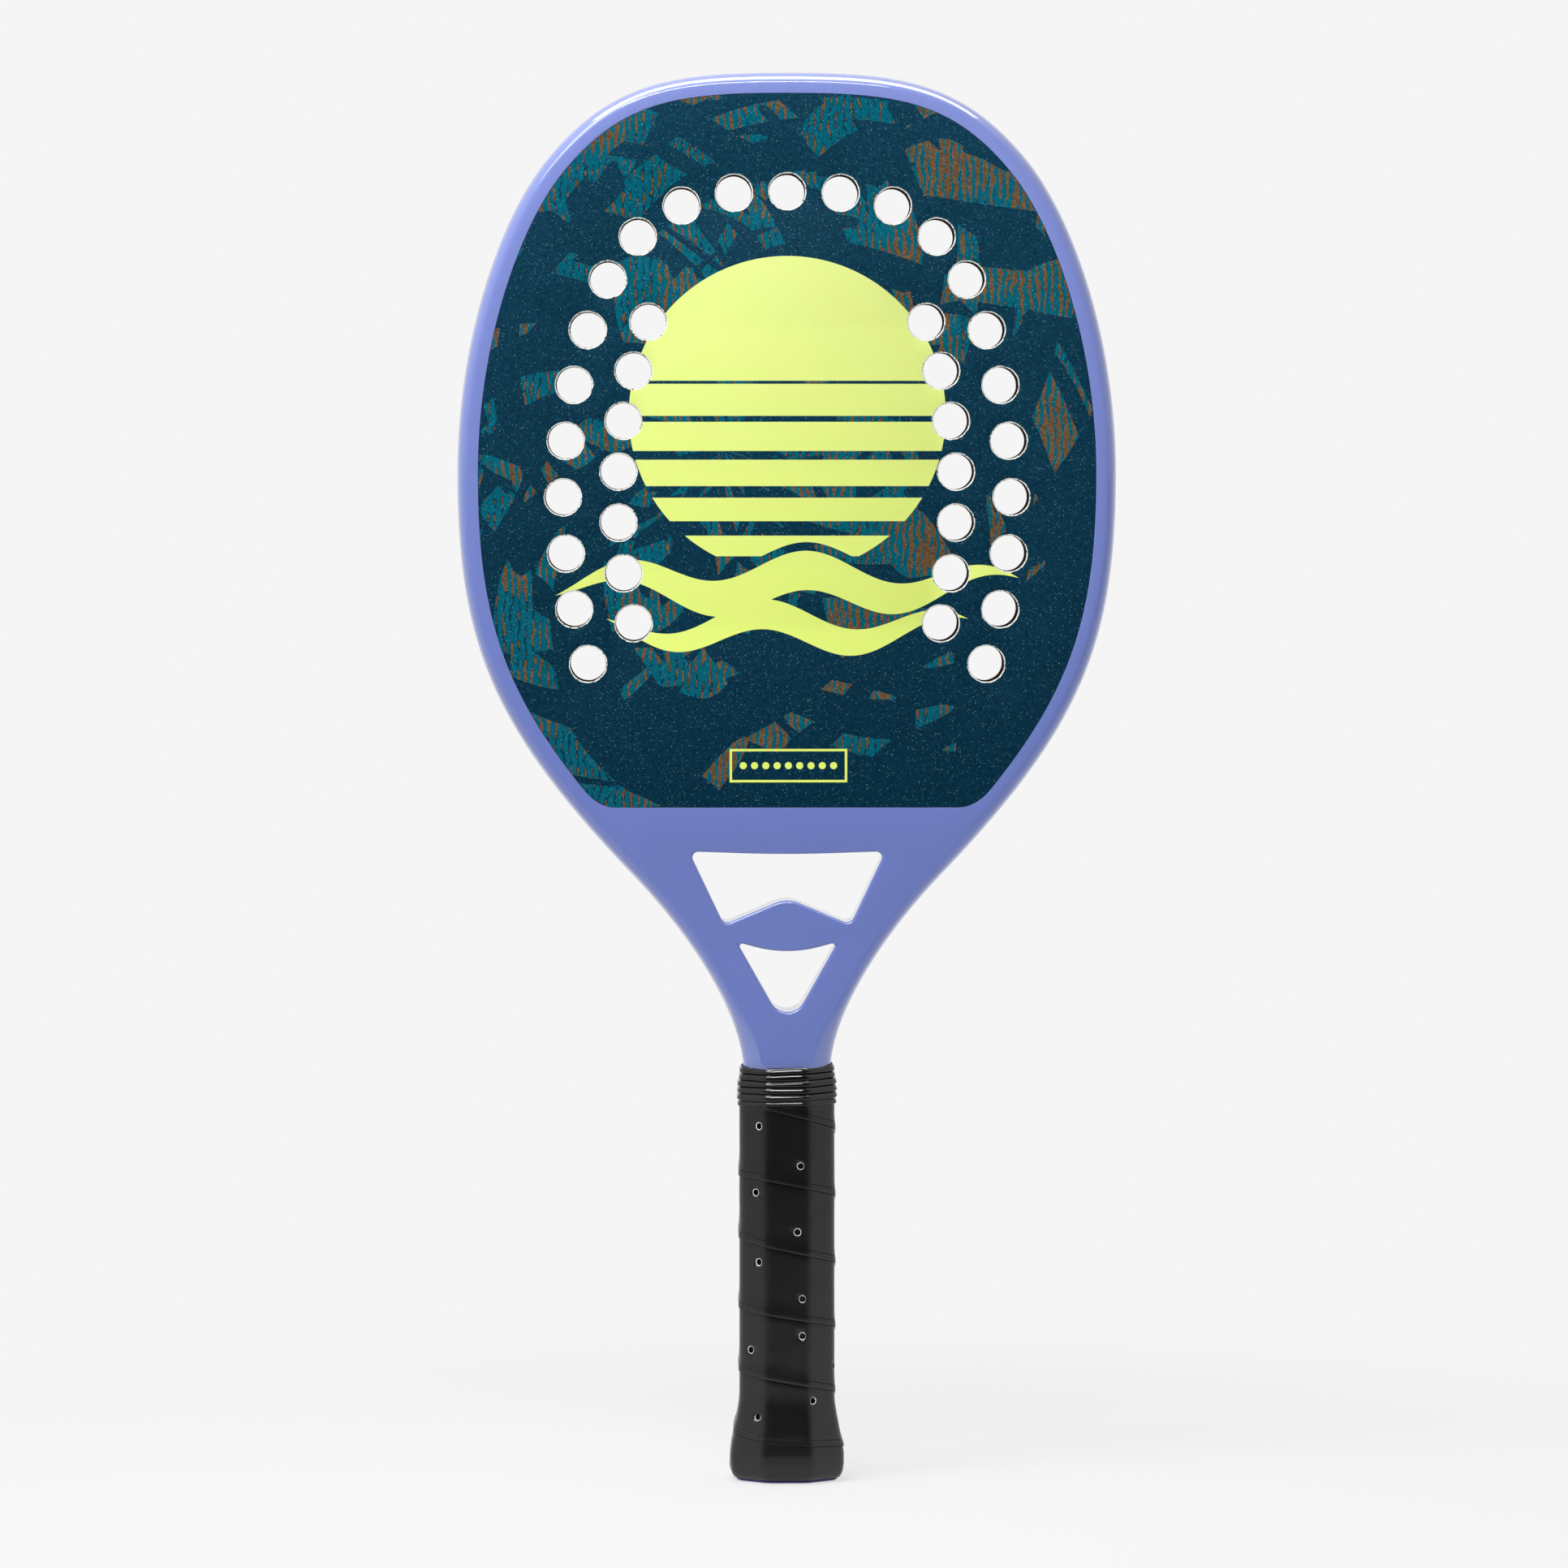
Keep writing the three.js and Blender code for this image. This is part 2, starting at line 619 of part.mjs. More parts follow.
// Heights as shares of the cap's height, and how far its side stands out as shares of its flare
const capShares = [
  [0, 0.42],
  [0.04, 0.62],
  [0.12, 0.9],
  [0.25, 1],
  [0.38, 1],
  [0.52, 0.82],
  [0.76, 0.5],
  [1, 0.06],
];

function capLoops(gap, ease) {
  return capShares.map(([heightShare, flareShare]) =>
    octagonLoop(CAP_FLARE * flareShare + gap, CAP_HEIGHT * heightShare, ease),
  );
}

function buttCap() {
  const bore = [CAP_FLOOR, CAP_HEIGHT + CUT_OVERRUN].map((height) =>
    octagonLoop(BOND_GAP - CAP_REBATE, height, SHARP_EASE),
  );
  return loft(capLoops(0, CORNER_EASE), fromAbove).subtract(loft(bore, fromAbove));
}

// A band round the handle, between two rising lines of [offset, height] points. The outer corners are eased.
function sleeve(outer, inner, ease) {
  const loops = [
    ...outer.map(([offset, height]) => octagonLoop(offset, height, ease)),
    ...inner.map(([offset, height]) => octagonLoop(offset, height, SHARP_EASE)).reverse(),
  ];
  const count = loops[0].length;
  const positions = [];
  for (const loop of loops) {
    for (const point of loop) positions.push(point.x, point.y, point.z);
  }
  const index = [];
  for (let row = 0; row < loops.length; row++) {
    const above = (row + 1) % loops.length;
    for (let i = 0; i < count; i++) {
      const next = (i + 1) % count;
      index.push(row * count + i, row * count + next, above * count + next);
      index.push(row * count + i, above * count + next, above * count + i);
    }
  }
  const geometry = new THREE.BufferGeometry();
  geometry.setAttribute("position", new THREE.Float32BufferAttribute(positions, 3));
  geometry.setIndex(index);
  return solid(geometry);
}

const neckOffsetAt = (height) =>
  (NECK_STEP * Math.max(0, height - WRAP_TOP - BOND_GAP)) / (HANDLE_LENGTH - WRAP_TOP - BOND_GAP);

function handleTape() {
  const low = CAP_HEIGHT + BOND_GAP * 3;
  const outer = TAPE_GAP + TAPE_THICKNESS;
  const line = (offset) => [[offset, low], [offset, WRAP_TOP]];
  return sleeve(line(outer), line(TAPE_GAP), SHARP_EASE);
}

const WRAP_SEAT = TAPE_GAP * 2 + TAPE_THICKNESS;
const WRAP_OUTSIDE = WRAP_SEAT + WRAP_THICKNESS;

// Where the wrap's outside lies at a height: over the flared cap below, over the handle above
function wrapOffsetAt(height) {
  const share = height / CAP_HEIGHT;
  const k = capShares.findIndex(([heightShare]) => heightShare >= share);
  if (k < 0) return WRAP_OUTSIDE;
  if (k === 0) return capShares[0][1] * CAP_FLARE + WRAP_OUTSIDE;
  const [lowShare, lowFlare] = capShares[k - 1];
  const [highShare, highFlare] = capShares[k];
  const flareShare = mix(lowFlare, highFlare, (share - lowShare) / (highShare - lowShare));
  return Math.max(CAP_FLARE * flareShare + TAPE_GAP + WRAP_THICKNESS, WRAP_OUTSIDE);
}

// What the wrap lies on, with its clearance: the cap's flare and the taped handle above it
function wrapSeat() {
  const cap = capLoops(TAPE_GAP, CORNER_EASE - SHARP_EASE);
  const foot = lowered(cap[0], CUT_OVERRUN);
  const flare = loft([foot, ...cap], fromAbove);
  const heights = [CAP_HEIGHT - CUT_OVERRUN, HANDLE_LENGTH];
  const core = heights.map((height) => octagonLoop(WRAP_SEAT, height, SHARP_EASE));
  return flare.add(loft(core, fromAbove));
}

// The space outside the wrap's thinned top end, where the tape and the collar go over it
function wrapEndStep() {
  const line = (offset) => [
    [offset, COLLAR_FOOT - TAPE_GAP],
    [offset, WRAP_TOP + CUT_OVERRUN],
  ];
  return sleeve(line(WRAP_OUTSIDE + CUT_OVERRUN), line(WRAP_SEAT + WRAP_END_THICKNESS), SHARP_EASE);
}

// Where the strip's outside is divided over its lap, as shares of its width
const bodyShares = [0.45, 0.7, 1];

// One unbroken strip wound up the handle. The lower edge of each turn laps over the turn below, so it stands out.
function gripWrap() {
  const plan = octagonLoop(0, 0, CORNER_EASE);
  const lengths = plan.map((point, i) => point.distanceTo(plan[(i + 1) % plan.length]));
  const round = lengths.reduce((sum, length) => sum + length, 0);
  const strip = WRAP_PITCH - WRAP_SLIT;
  const body = bodyShares.map((share) => strip * share);
  const rises = [0, LAP_WIDTH, LAP_WIDTH + LAP_THICKNESS, ...body];
  const laps = [LAP_THICKNESS, LAP_THICKNESS, 0, 0, 0, 0];
  const turns = (WRAP_TOP - WRAP_BOTTOM) / WRAP_PITCH + 1;
  const loops = [];
  let climbed = 0;
  for (let step = 0; step <= turns * plan.length; step++) {
    const corner = (WRAP_START_STEPS + plan.length * plan.length - step) % plan.length;
    const low = WRAP_BOTTOM - WRAP_PITCH + (WRAP_PITCH * climbed) / round;
    const at = (offset, height) => octagonLoop(offset, height, CORNER_EASE)[corner];
    const outside = rises.map((rise, i) => at(wrapOffsetAt(low + rise) + laps[i], low + rise));
    loops.push([at(-BOND_GAP, low), ...outside, at(-BOND_GAP, low + strip)]);
    climbed += lengths[(corner + plan.length - 1) % plan.length];
  }
  const gaps = loops.slice(plan.length).map((loop, i) => loops[i].at(-2).distanceTo(loop[1]));
  console.log("least gap between the turns of the wrap: " + Math.min(...gaps).toFixed(2) + " mm");
  return loft(loops, (point) => new THREE.Vector2(Math.hypot(point.x, point.y), point.z))
    .intersect(between(WRAP_BOTTOM, WRAP_TOP))
    .subtract(wrapSeat())
    .subtract(wrapEndStep());
}

// Over the wrap's top edge and the neck, as [offset, height] lines for a tape or a band of one thickness
function overWrapEnd(low, high, lift) {
  const over = WRAP_SEAT + WRAP_END_THICKNESS + TAPE_GAP + lift;
  const step = WRAP_TOP + BOND_GAP + lift;
  return [
    [over, low],
    [over, step],
    [neckOffsetAt(step) + TAPE_GAP + lift, step + BOND_GAP],
    [neckOffsetAt(high) + TAPE_GAP + lift, high],
  ];
}

function finishingTape() {
  const low = WRAP_TOP - FINISHING_TAPE_HEIGHT / 2;
  const high = WRAP_TOP + FINISHING_TAPE_HEIGHT / 2;
  const inner = overWrapEnd(low, high, 0);
  const outer = overWrapEnd(low, high, TAPE_THICKNESS);
  return sleeve(outer, inner, SHARP_EASE);
}

// A rib's profile: shares of its pitch upwards and of its stand outwards
const ribShares = [
  [0, 0],
  [0.3, 1],
  [0.7, 1],
];

function gripCollar() {
  const inner = overWrapEnd(COLLAR_FOOT, COLLAR_TOP, TAPE_THICKNESS + TAPE_GAP);
  const [[onWrap], , [onNeck]] = inner;
  const seats = [...Array(COLLAR_WRAP_RIBS).fill(onWrap), ...Array(COLLAR_NECK_RIBS).fill(onNeck)];
  const outer = seats.flatMap((seat, rib) =>
    ribShares.map(([riseShare, standShare]) => [
      seat + COLLAR_WALL + COLLAR_RIB * standShare,
      COLLAR_FOOT + RIB_PITCH * (rib + riseShare),
    ]),
  );
  outer.push([onNeck + COLLAR_WALL, COLLAR_TOP]);
  return sleeve(outer, inner, CORNER_EASE);
}

const holes = holeCentres().map((centre) => circle(centre, HOLE_DIAMETER));
const pockets = skinPockets();
const throat = throatBlank()
  .subtract(windowCutter(upperWindow()))
  .subtract(windowCutter(lowerWindow()))
  .subtract(pockets);
const sides = { left: -1, right: 1 };
const slots = Object.values(sides).map((side) => capStaple(side, TAPE_GAP));
const cutBySlots = (body) => slots.reduce((rest, slot) => rest.subtract(slot), body);

const racket = new THREE.Group();
racket.add(
  meshOf("frame_tube", cutBySlots(frameTube().subtract(pockets)), "lacquer"),
  meshOf("foam_core", foamCore(holes), "foam"),
  meshOf("front_face", plate(faceOutline(0), -HALF_THICKNESS, -SKIN_SEAT, holes), "print"),
  meshOf("rear_face", plate(faceOutline(0), SKIN_SEAT, HALF_THICKNESS, holes), "print"),
  meshOf("head_bridge", throat.intersect(between(BRIDGE_FOOT, BRIDGE_TOP + CUT_OVERRUN)), "lacquer"),
  meshOf("throat_yoke", throat.intersect(between(0, BRIDGE_FOOT - BOND_GAP)), "lacquer"),
  meshOf("butt_cap", cutBySlots(buttCap()), "plastic"),
  meshOf("handle_tape", handleTape(), "clothTape"),
  meshOf("grip_wrap", gripWrap(), "wrap"),
  meshOf("finishing_tape", finishingTape(), "tape"),
  meshOf("grip_collar", gripCollar(), "rubber"),
);
for (const [name, side] of Object.entries(sides)) {
  racket.add(meshOf(name + "_leg_plug", cutBySlots(legPlug(side)), "foam"));
  racket.add(meshOf("cap_staple_" + name, capStaple(side, 0), "steel"));
}

export default racket;
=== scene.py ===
import math

import bmesh
import bpy
from mathutils import Matrix, Vector, geometry, noise


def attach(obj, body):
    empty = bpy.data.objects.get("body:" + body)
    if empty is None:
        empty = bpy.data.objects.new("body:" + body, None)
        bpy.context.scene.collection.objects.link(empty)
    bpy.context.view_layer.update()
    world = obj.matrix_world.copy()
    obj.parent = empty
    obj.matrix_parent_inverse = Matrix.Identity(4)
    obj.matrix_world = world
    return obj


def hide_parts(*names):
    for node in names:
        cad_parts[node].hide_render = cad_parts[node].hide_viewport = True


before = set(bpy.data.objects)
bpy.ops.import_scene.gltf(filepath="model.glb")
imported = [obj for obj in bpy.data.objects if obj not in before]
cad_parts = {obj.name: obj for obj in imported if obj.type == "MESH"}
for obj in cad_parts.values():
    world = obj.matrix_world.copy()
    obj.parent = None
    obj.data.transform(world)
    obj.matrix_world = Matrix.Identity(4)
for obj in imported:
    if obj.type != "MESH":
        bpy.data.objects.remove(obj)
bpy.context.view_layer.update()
scene = bpy.context.scene
scene.view_settings.view_transform = "Standard"

# Camera: a long lens nearly three metres away, a little above the middle of the head and to its left,
# turned down onto the middle of the racket.
PHOTO_WIDTH = 0.5574
camera_place = Vector((-0.043, -2.8, 0.373))
camera_aim = Vector((-0.001, 0, 0.2479))
camera = bpy.data.objects.new("camera", bpy.data.cameras.new("camera"))
camera.location = camera_place
camera.rotation_euler = (camera_aim - camera_place).to_track_quat("-Z", "Y").to_euler()
camera.data.sensor_width = 36
camera.data.lens = camera.data.sensor_width * (camera_aim - camera_place).length / PHOTO_WIDTH
camera.data.clip_end = 100
scene.collection.objects.link(camera)
scene.camera = camera

# Frame: one moulded tube that runs as a hoop round the head and down both legs, with the bridge and the
# yoke bonded between them. It is filled, sanded and sprayed as one piece, so it is one gloss lacquer shell.
# The lengths here are millimetres; each finished piece is scaled to metres.
MM = 0.001
LENGTH = 500
NECK_HEIGHT = 150
SHELL_FOOT = 3.3
CAP_REBATE = 0.7
REBATE_TOP = 27.6
HALF_THICKNESS = 11
EDGE_BULGE = 4.6
EDGE_SQUARENESS = 0.85
RIM_WIDTH = 7.6
FACE_FOOT = 240
FACE_CORNER = 6
HANDLE_HALF_WIDTH = 14.75
HANDLE_HALF_DEPTH = 12.75
BEVEL_ACROSS = 8.6
BEVEL_DEEP = 7
NECK_STEP = 1
STEP_FOOT = 143.4
DEPTH_BLEND_TOP = 199
SECTION_BLEND_TOP = 170.8
WINDOW_FILLET = 1.3
OPENING_EDGE = 0.14
WALL_DEPTHS = 0.7, 0.35, 0
HANDLE_EASE = 0.05
NECK_EASE = 0.3
REBATE_STEP = 0.3
BEND_PULL = 0.667
BEND_POINTS = 9
WINDOW_BEND_POINTS = 13
SECTION_STEPS = 14
SMOOTH_UP_TO = 38
WELD = 1e-3
ON_LEVEL = 1e-4
outline_knots = [
    ((0, LENGTH), 0),
    ((85.5, 468.6), -51.3),
    ((116.9, 357.8), -90),
    ((54.5, 215.3), -133.7),
    ((HANDLE_HALF_WIDTH + NECK_STEP, NECK_HEIGHT), -97.6),
]
handle_shares = [(0.426, 0.409), (0.2215, 0.418), (0.387, 0.465), (0.4255, 0.2236)]
stretch_steps = [44, 44, 56, 52]
straight_heights = [
    NECK_HEIGHT, 148.4, 146.8, 145.2, STEP_FOOT, 130, 80, REBATE_TOP, REBATE_TOP - REBATE_STEP, 15, SHELL_FOOT,
]


def lay(bm, rows, closed=False):
    """A sheet of quads whose grid is moved onto rows of points; closed joins the ends of each row."""
    if closed:
        rows = [row + row[:1] for row in rows]
    grid = bmesh.ops.create_grid(bm, x_segments=len(rows[0]) - 1, y_segments=len(rows) - 1, size=1)["verts"]
    for vertex, point in zip(grid, (point for row in rows for point in row)):
        vertex.co = point
    return grid


def piece_of(bm, name, *finishes):
    """A bmesh in millimetres as a smooth-shaded object in metres, standing in the racket's own frame."""
    bmesh.ops.scale(bm, vec=(MM, MM, MM), verts=bm.verts)
    mesh = bpy.data.meshes.new(name)
    bm.to_mesh(mesh)
    bm.free()
    mesh.shade_smooth()
    mesh.set_sharp_from_angle(angle=math.radians(SMOOTH_UP_TO))
    for finish in finishes:
        mesh.materials.append(finish)
    made = bpy.data.objects.new(name, mesh)
    scene.collection.objects.link(made)
    return made


def close_up(bm, weld=WELD):
    """Merges the points that lie on each other, fills open ends and points every face outwards."""
    bmesh.ops.remove_doubles(bm, verts=bm.verts, dist=weld)
    bmesh.ops.holes_fill(bm, edges=[edge for edge in bm.edges if edge.is_boundary])
    bmesh.ops.recalc_face_normals(bm, faces=bm.faces)


def mix(start, end, share):
    return start + (end - start) * share


def smooth_share(value, low, high):
    share = min(1, max(0, (value - low) / (high - low)))
    return share * share * (3 - 2 * share)


def octagon(offset):
    """Half width, half depth and half facets of the handle's octagon, its facets moved out by an offset."""
    slant = math.hypot(BEVEL_ACROSS, BEVEL_DEEP)
    front_half = HANDLE_HALF_WIDTH - BEVEL_ACROSS + offset * (slant - BEVEL_ACROSS) / BEVEL_DEEP
    side_half = HANDLE_HALF_DEPTH - BEVEL_DEEP + offset * (slant - BEVEL_DEEP) / BEVEL_ACROSS
    return HANDLE_HALF_WIDTH + offset, HANDLE_HALF_DEPTH + offset, front_half, side_half


def handle_offset(height):
    """The octagon steps out a little at the neck, and in a little where the butt cap goes over it."""
    rebate = CAP_REBATE * (1 - smooth_share(height, REBATE_TOP - REBATE_STEP, REBATE_TOP))
    return NECK_STEP * smooth_share(height, STEP_FOOT, NECK_HEIGHT) - rebate


def half_depth_at(height):
    handle_depth = octagon(handle_offset(height))[1]
    return mix(handle_depth, HALF_THICKNESS, smooth_share(height, NECK_HEIGHT, DEPTH_BLEND_TOP))


def heading(degrees):
    return Vector((math.cos(math.radians(degrees)), math.sin(math.radians(degrees))))


def outline_stations():
    """Points of the outline's right half with their inward normals, from the crown to the shell's foot."""
    line = []
    stretches = zip(outline_knots, outline_knots[1:], handle_shares, stretch_steps)
    for (start, start_slope), (end, end_slope), shares, steps in stretches:
        a, b = Vector(start), Vector(end)
        reach = (b - a).length
        handles = a + heading(start_slope) * reach * shares[0], b - heading(end_slope) * reach * shares[1]
        line += geometry.interpolate_bezier(a, *handles, b, steps + 1)[:-1]
    for height in straight_heights:
        line.append(Vector((HANDLE_HALF_WIDTH + handle_offset(height), height)))
    stations = []
    for i, point in enumerate(line):
        before = line[i - 1] if i else Vector((-line[1].x, line[1].y))
        after = line[i + 1] if i + 1 < len(line) else point + (point - line[i - 1])
        along = (after - before).normalized()
        stations.append((point, Vector((along.y, -along.x))))
    return stations


def soft_facets(height, share):
    """A point of the octagon's section, its corners eased: barely on the handle, widely at the bare neck."""
    half_width, half_depth, front_half, side_half = octagon(handle_offset(height))
    ease = mix(HANDLE_EASE, NECK_EASE, smooth_share(height, STEP_FOOT, NECK_HEIGHT))
    total = Vector((0, 0))
    for k in range(-4, 5):
        near = share + ease * k / 4
        half = math.copysign(1, near)
        near = min(2 - near, abs(near))
        side_share, bevel_share = min(1, near * 2), max(0, near * 2 - 1)
        deep = mix(side_half * side_share, half_depth, bevel_share) * half
        total += Vector((bevel_share * (half_width - front_half), deep))
    return total / 9


def section_point(height, share):
    """How far inwards a point of the tube's outer section lies, and its share of the depth there.

    A share of 0 is the outermost point, and 1 the edge of the flat land.
    """
    angle = share * math.pi / 2
    bulge = EDGE_BULGE * (1 - max(0, math.cos(angle)) ** EDGE_SQUARENESS)
    rounded = Vector((bulge, math.sin(angle) ** EDGE_SQUARENESS))
    faceted = soft_facets(height, share)
    faceted.y /= soft_facets(height, 1).y
    return rounded.lerp(faceted, 1 - smooth_share(height, NECK_HEIGHT, SECTION_BLEND_TOP))


def above(line, height):
    """The part of a falling line above a height, ending exactly on it."""
    kept = [point for point in line if point.y > height]
    last, after = kept[-1], line[len(kept)]
    kept.append(last.lerp(after, (last.y - height) / (last.y - after.y)))
    return kept


def rounded_loop(corners):
    """A closed outline from [x, z, setback] corners, each rounded by an arc that starts its setback away."""
    loop = []
    for i, (x, z, setback) in enumerate(corners):
        corner = Vector((x, z))
        back = (Vector(corners[i - 1][:2]) - corner).normalized()
        onward = (Vector(corners[(i + 1) % len(corners)][:2]) - corner).normalized()
        turn = math.pi - back.angle(onward)
        handle = 4 / 3 * math.tan(turn / 4) / math.tan(turn / 2)
        start, end = corner + back * setback, corner + onward * setback
        handles = start.lerp(corner, handle), end.lerp(corner, handle)
        loop += geometry.interpolate_bezier(start, *handles, end, WINDOW_BEND_POINTS)
    return loop


def grown(loop, amount):
    """A closed loop moved outwards, away from its inside."""
    moved = []
    for i, point in enumerate(loop):
        along = (loop[(i + 1) % len(loop)] - loop[i - 1]).normalized()
        moved.append(point + Vector((-along.y, along.x)) * amount)
    return moved


stations = outline_stations()


def face_outline(inset):
    """The painted border's inner line: it follows the hoop, with a straight foot and rounded corners."""
    line = [point + inward * (RIM_WIDTH + inset) for point, inward in stations]
    foot = FACE_FOOT + inset
    kept, corner = above(line, foot + FACE_CORNER), above(line, foot)[-1]
    end = Vector((corner.x - FACE_CORNER, foot))
    handles = kept[-1].lerp(corner, BEND_PULL), end.lerp(corner, BEND_PULL)
    right = kept[:-1] + geometry.interpolate_bezier(kept[-1], *handles, end, BEND_POINTS)
    return right + [Vector((-x, z)) for x, z in reversed(right[1:])]


# Corners of the two windows, clockwise seen from the front: across, up, and the rounding's setback
upper_window = rounded_loop([
    (-34.8, 224.4, 3.4),
    (0, 223.2, 18),
    (34.8, 224.4, 3.4),
    (22.4, 198.5, 2.6),
    (0, 207.9, 4.5),
    (-22.4, 198.5, 2.6),
])
lower_window = rounded_loop([
    (-17.9, 192.3, 2.4),
    (0, 187.4, 12),
    (17.9, 192.3, 2.4),
    (0, 160.9, 11.4),
])


def notched(loop, levels):
    """A closed loop with a point added wherever it crosses one of the levels."""
    made = []
    for a, b in zip(loop, loop[1:] + loop[:1]):
        low, high = min(a.y, b.y) + ON_LEVEL, max(a.y, b.y) - ON_LEVEL
        crossed = sorted((level for level in levels if low < level < high), reverse=a.y > b.y)
        made += [a] + [a.lerp(b, (level - a.y) / (b.y - a.y)) for level in crossed]
    return made


def fill_flat(bm, loops, depth):
    """Fills the flat area inside the first loop and outside the others, facing the front."""
    edges = []
    for loop in loops:
        ring = [bm.verts.new((x, depth, z)) for x, z in loop]
        edges += [bm.edges.new(pair) for pair in zip(ring, ring[1:] + ring[:1])]
    return bmesh.ops.triangle_fill(bm, use_beauty=True, edges=edges, normal=(0, -1, 0))


def front_edge(loop, inset, depth_of):
    """A loop moved inwards and laid at the depth that depth_of gives at each of its points."""
    return [Vector((x, -depth_of(point.y), z)) for (x, z), point in zip(grown(loop, -inset), loop)]


bm = bmesh.new()
right_rows = []
for point, inward in stations:
    row = []
    for k in range(SECTION_STEPS + 1):
        inwards, deep = section_point(point.y, k / SECTION_STEPS)
        x, z = point + inward * inwards
        row.append(Vector((x, -half_depth_at(z) * deep, z)))
    right_rows.append(row)
left_rows = [[Vector((-x, y, z)) for x, y, z in row] for row in reversed(right_rows[1:])]
lay(bm, left_rows + right_rows)

# The flat land inside the tube's edge, and its openings: each one's loop, the round at its edge, and its steps
land_line = [Vector((row[-1].x, row[-1].z)) for row in left_rows + right_rows]
levels = [z for _, z in land_line[: len(left_rows)] if SHELL_FOOT < z < DEPTH_BLEND_TOP]
land = bmesh.new()
openings = [
    (face_outline(-OPENING_EDGE), OPENING_EDGE, 4),
    (notched(grown(upper_window, WINDOW_FILLET), levels), WINDOW_FILLET, 8),
    (notched(grown(lower_window, WINDOW_FILLET), levels), WINDOW_FILLET, 8),
]
fill_flat(land, [land_line] + [loop for loop, _, _ in openings], 0)
for level in levels:
    everything = land.verts[:] + land.edges[:] + land.faces[:]
    bmesh.ops.bisect_plane(land, geom=everything, dist=ON_LEVEL, plane_co=(0, 0, level), plane_no=(0, 0, 1))
for vertex in land.verts:
    vertex.co.y = -half_depth_at(vertex.co.z)
# Each opening's edge is a small round, then a straight wall to the middle of the depth
for loop, fillet, steps in openings:
    rows = []
    for k in range(steps):
        angle = k / (steps - 1) * math.pi / 2
        sunk = fillet * (1 - math.cos(angle))
        rows.append(front_edge(loop, fillet * math.sin(angle), lambda height: half_depth_at(height) - sunk))
    rows += [[Vector((x, y * share, z)) for x, y, z in rows[-1]] for share in WALL_DEPTHS]
    lay(land, rows, closed=True)
land_mesh = bpy.data.meshes.new("land")
land.to_mesh(land_mesh)
land.free()
bm.from_mesh(land_mesh)
bpy.data.meshes.remove(land_mesh)
# The front half is mirrored to the back
bmesh.ops.remove_doubles(bm, verts=bm.verts, dist=WELD)
everything = bm.verts[:] + bm.edges[:] + bm.faces[:]
bmesh.ops.mirror(bm, geom=everything, axis="Y", merge_dist=WELD)
close_up(bm)


def plug(tree, socket, value):
    """Gives a socket its own value, or links it to the socket that feeds it."""
    if isinstance(value, bpy.types.NodeSocket):
        tree.links.new(value, socket)
    else:
        socket.default_value = value


def node(tree, kind, inputs=(), **settings):
    """A shader node of one kind; each input is a value, or the socket that feeds it."""
    made = tree.nodes.new("ShaderNode" + kind)
    for key, value in settings.items():
        setattr(made, key, value)
    for key, value in dict(inputs).items():
        plug(tree, made.inputs[key], value)
    return made


def calc(tree, operation, *values):
    return node(tree, "Math", dict(enumerate(values)), operation=operation).outputs[0]


def blend_colour(tree, mask, first, second):
    mixed = node(tree, "Mix", {0: mask, 6: first, 7: second}, data_type="RGBA")
    return mixed.outputs[2]


def colour(red, green, blue):
    """A colour from its screen values of 0 to 255."""
    shares = (red / 255, green / 255, blue / 255)
    return (*(((share + 0.055) / 1.055) ** 2.4 if share > 0.04 else share / 12.92 for share in shares), 1)


def feed(tree, shader, **values):
    """Gives the shader's sockets their values, or links them to what changes over the surface."""
    for key, value in values.items():
        plug(tree, shader.inputs[key.replace("_", " ")], value)


def finish(name, **values):
    """A new material, its node tree and its shader, with the shader's own values set."""
    made = bpy.data.materials.new(name)
    made.use_nodes = True
    shader = made.node_tree.nodes["Principled BSDF"]
    feed(made.node_tree, shader, **values)
    return made, made.node_tree, shader


def raised(tree, height, strength, distance):
    """A normal that follows a height."""
    return node(tree, "Bump", {"Strength": strength, "Distance": distance, "Height": height}).outputs[0]


def effect(name, inputs, output):
    """An empty node group with its named inputs, their values and its output."""
    group = bpy.data.node_groups.new(name, "ShaderNodeTree")
    for key, value in inputs.items():
        kind = "NodeSocketVector" if isinstance(value, tuple) else "NodeSocketFloat"
        group.interface.new_socket(name=key, in_out="INPUT", socket_type=kind).default_value = value
    group.interface.new_socket(name=output, in_out="OUTPUT", socket_type="NodeSocketFloat")
    return group, group.nodes.new("NodeGroupInput").outputs, group.nodes.new("NodeGroupOutput").inputs[0]


def place_on(tree):
    return node(tree, "TexCoord").outputs["Object"]


def cloudy(tree, at, scale, detail=2.0, roughness=0.5):
    """A value that drifts about a half, with finer drifts on it."""
    sockets = {"Vector": at, "Scale": scale, "Detail": detail, "Roughness": roughness}
    return node(tree, "TexNoise", sockets).outputs[0]


def ramp(tree, value, low, high, start=0.0, end=1.0):
    """Runs from start to end while the value runs from low to high."""
    sockets = {"Value": value, "From Min": low, "From Max": high, "To Min": start, "To Max": end}
    return node(tree, "MapRange", sockets).outputs[0]


# Cloudy handling marks: a value that drifts between a low and a high level over the surface
values = {"Place": (0.0, 0.0, 0.0), "Scale": 40.0, "Low": 0.2, "High": 0.3}
marks_group, given, result = effect("handling_marks", values, "Value")
cloud = cloudy(marks_group, given["Place"], given["Scale"], 6.0, 0.6)
level = ramp(marks_group, cloud, 0.3, 0.7, given["Low"], given["High"])
plug(marks_group, result, level)

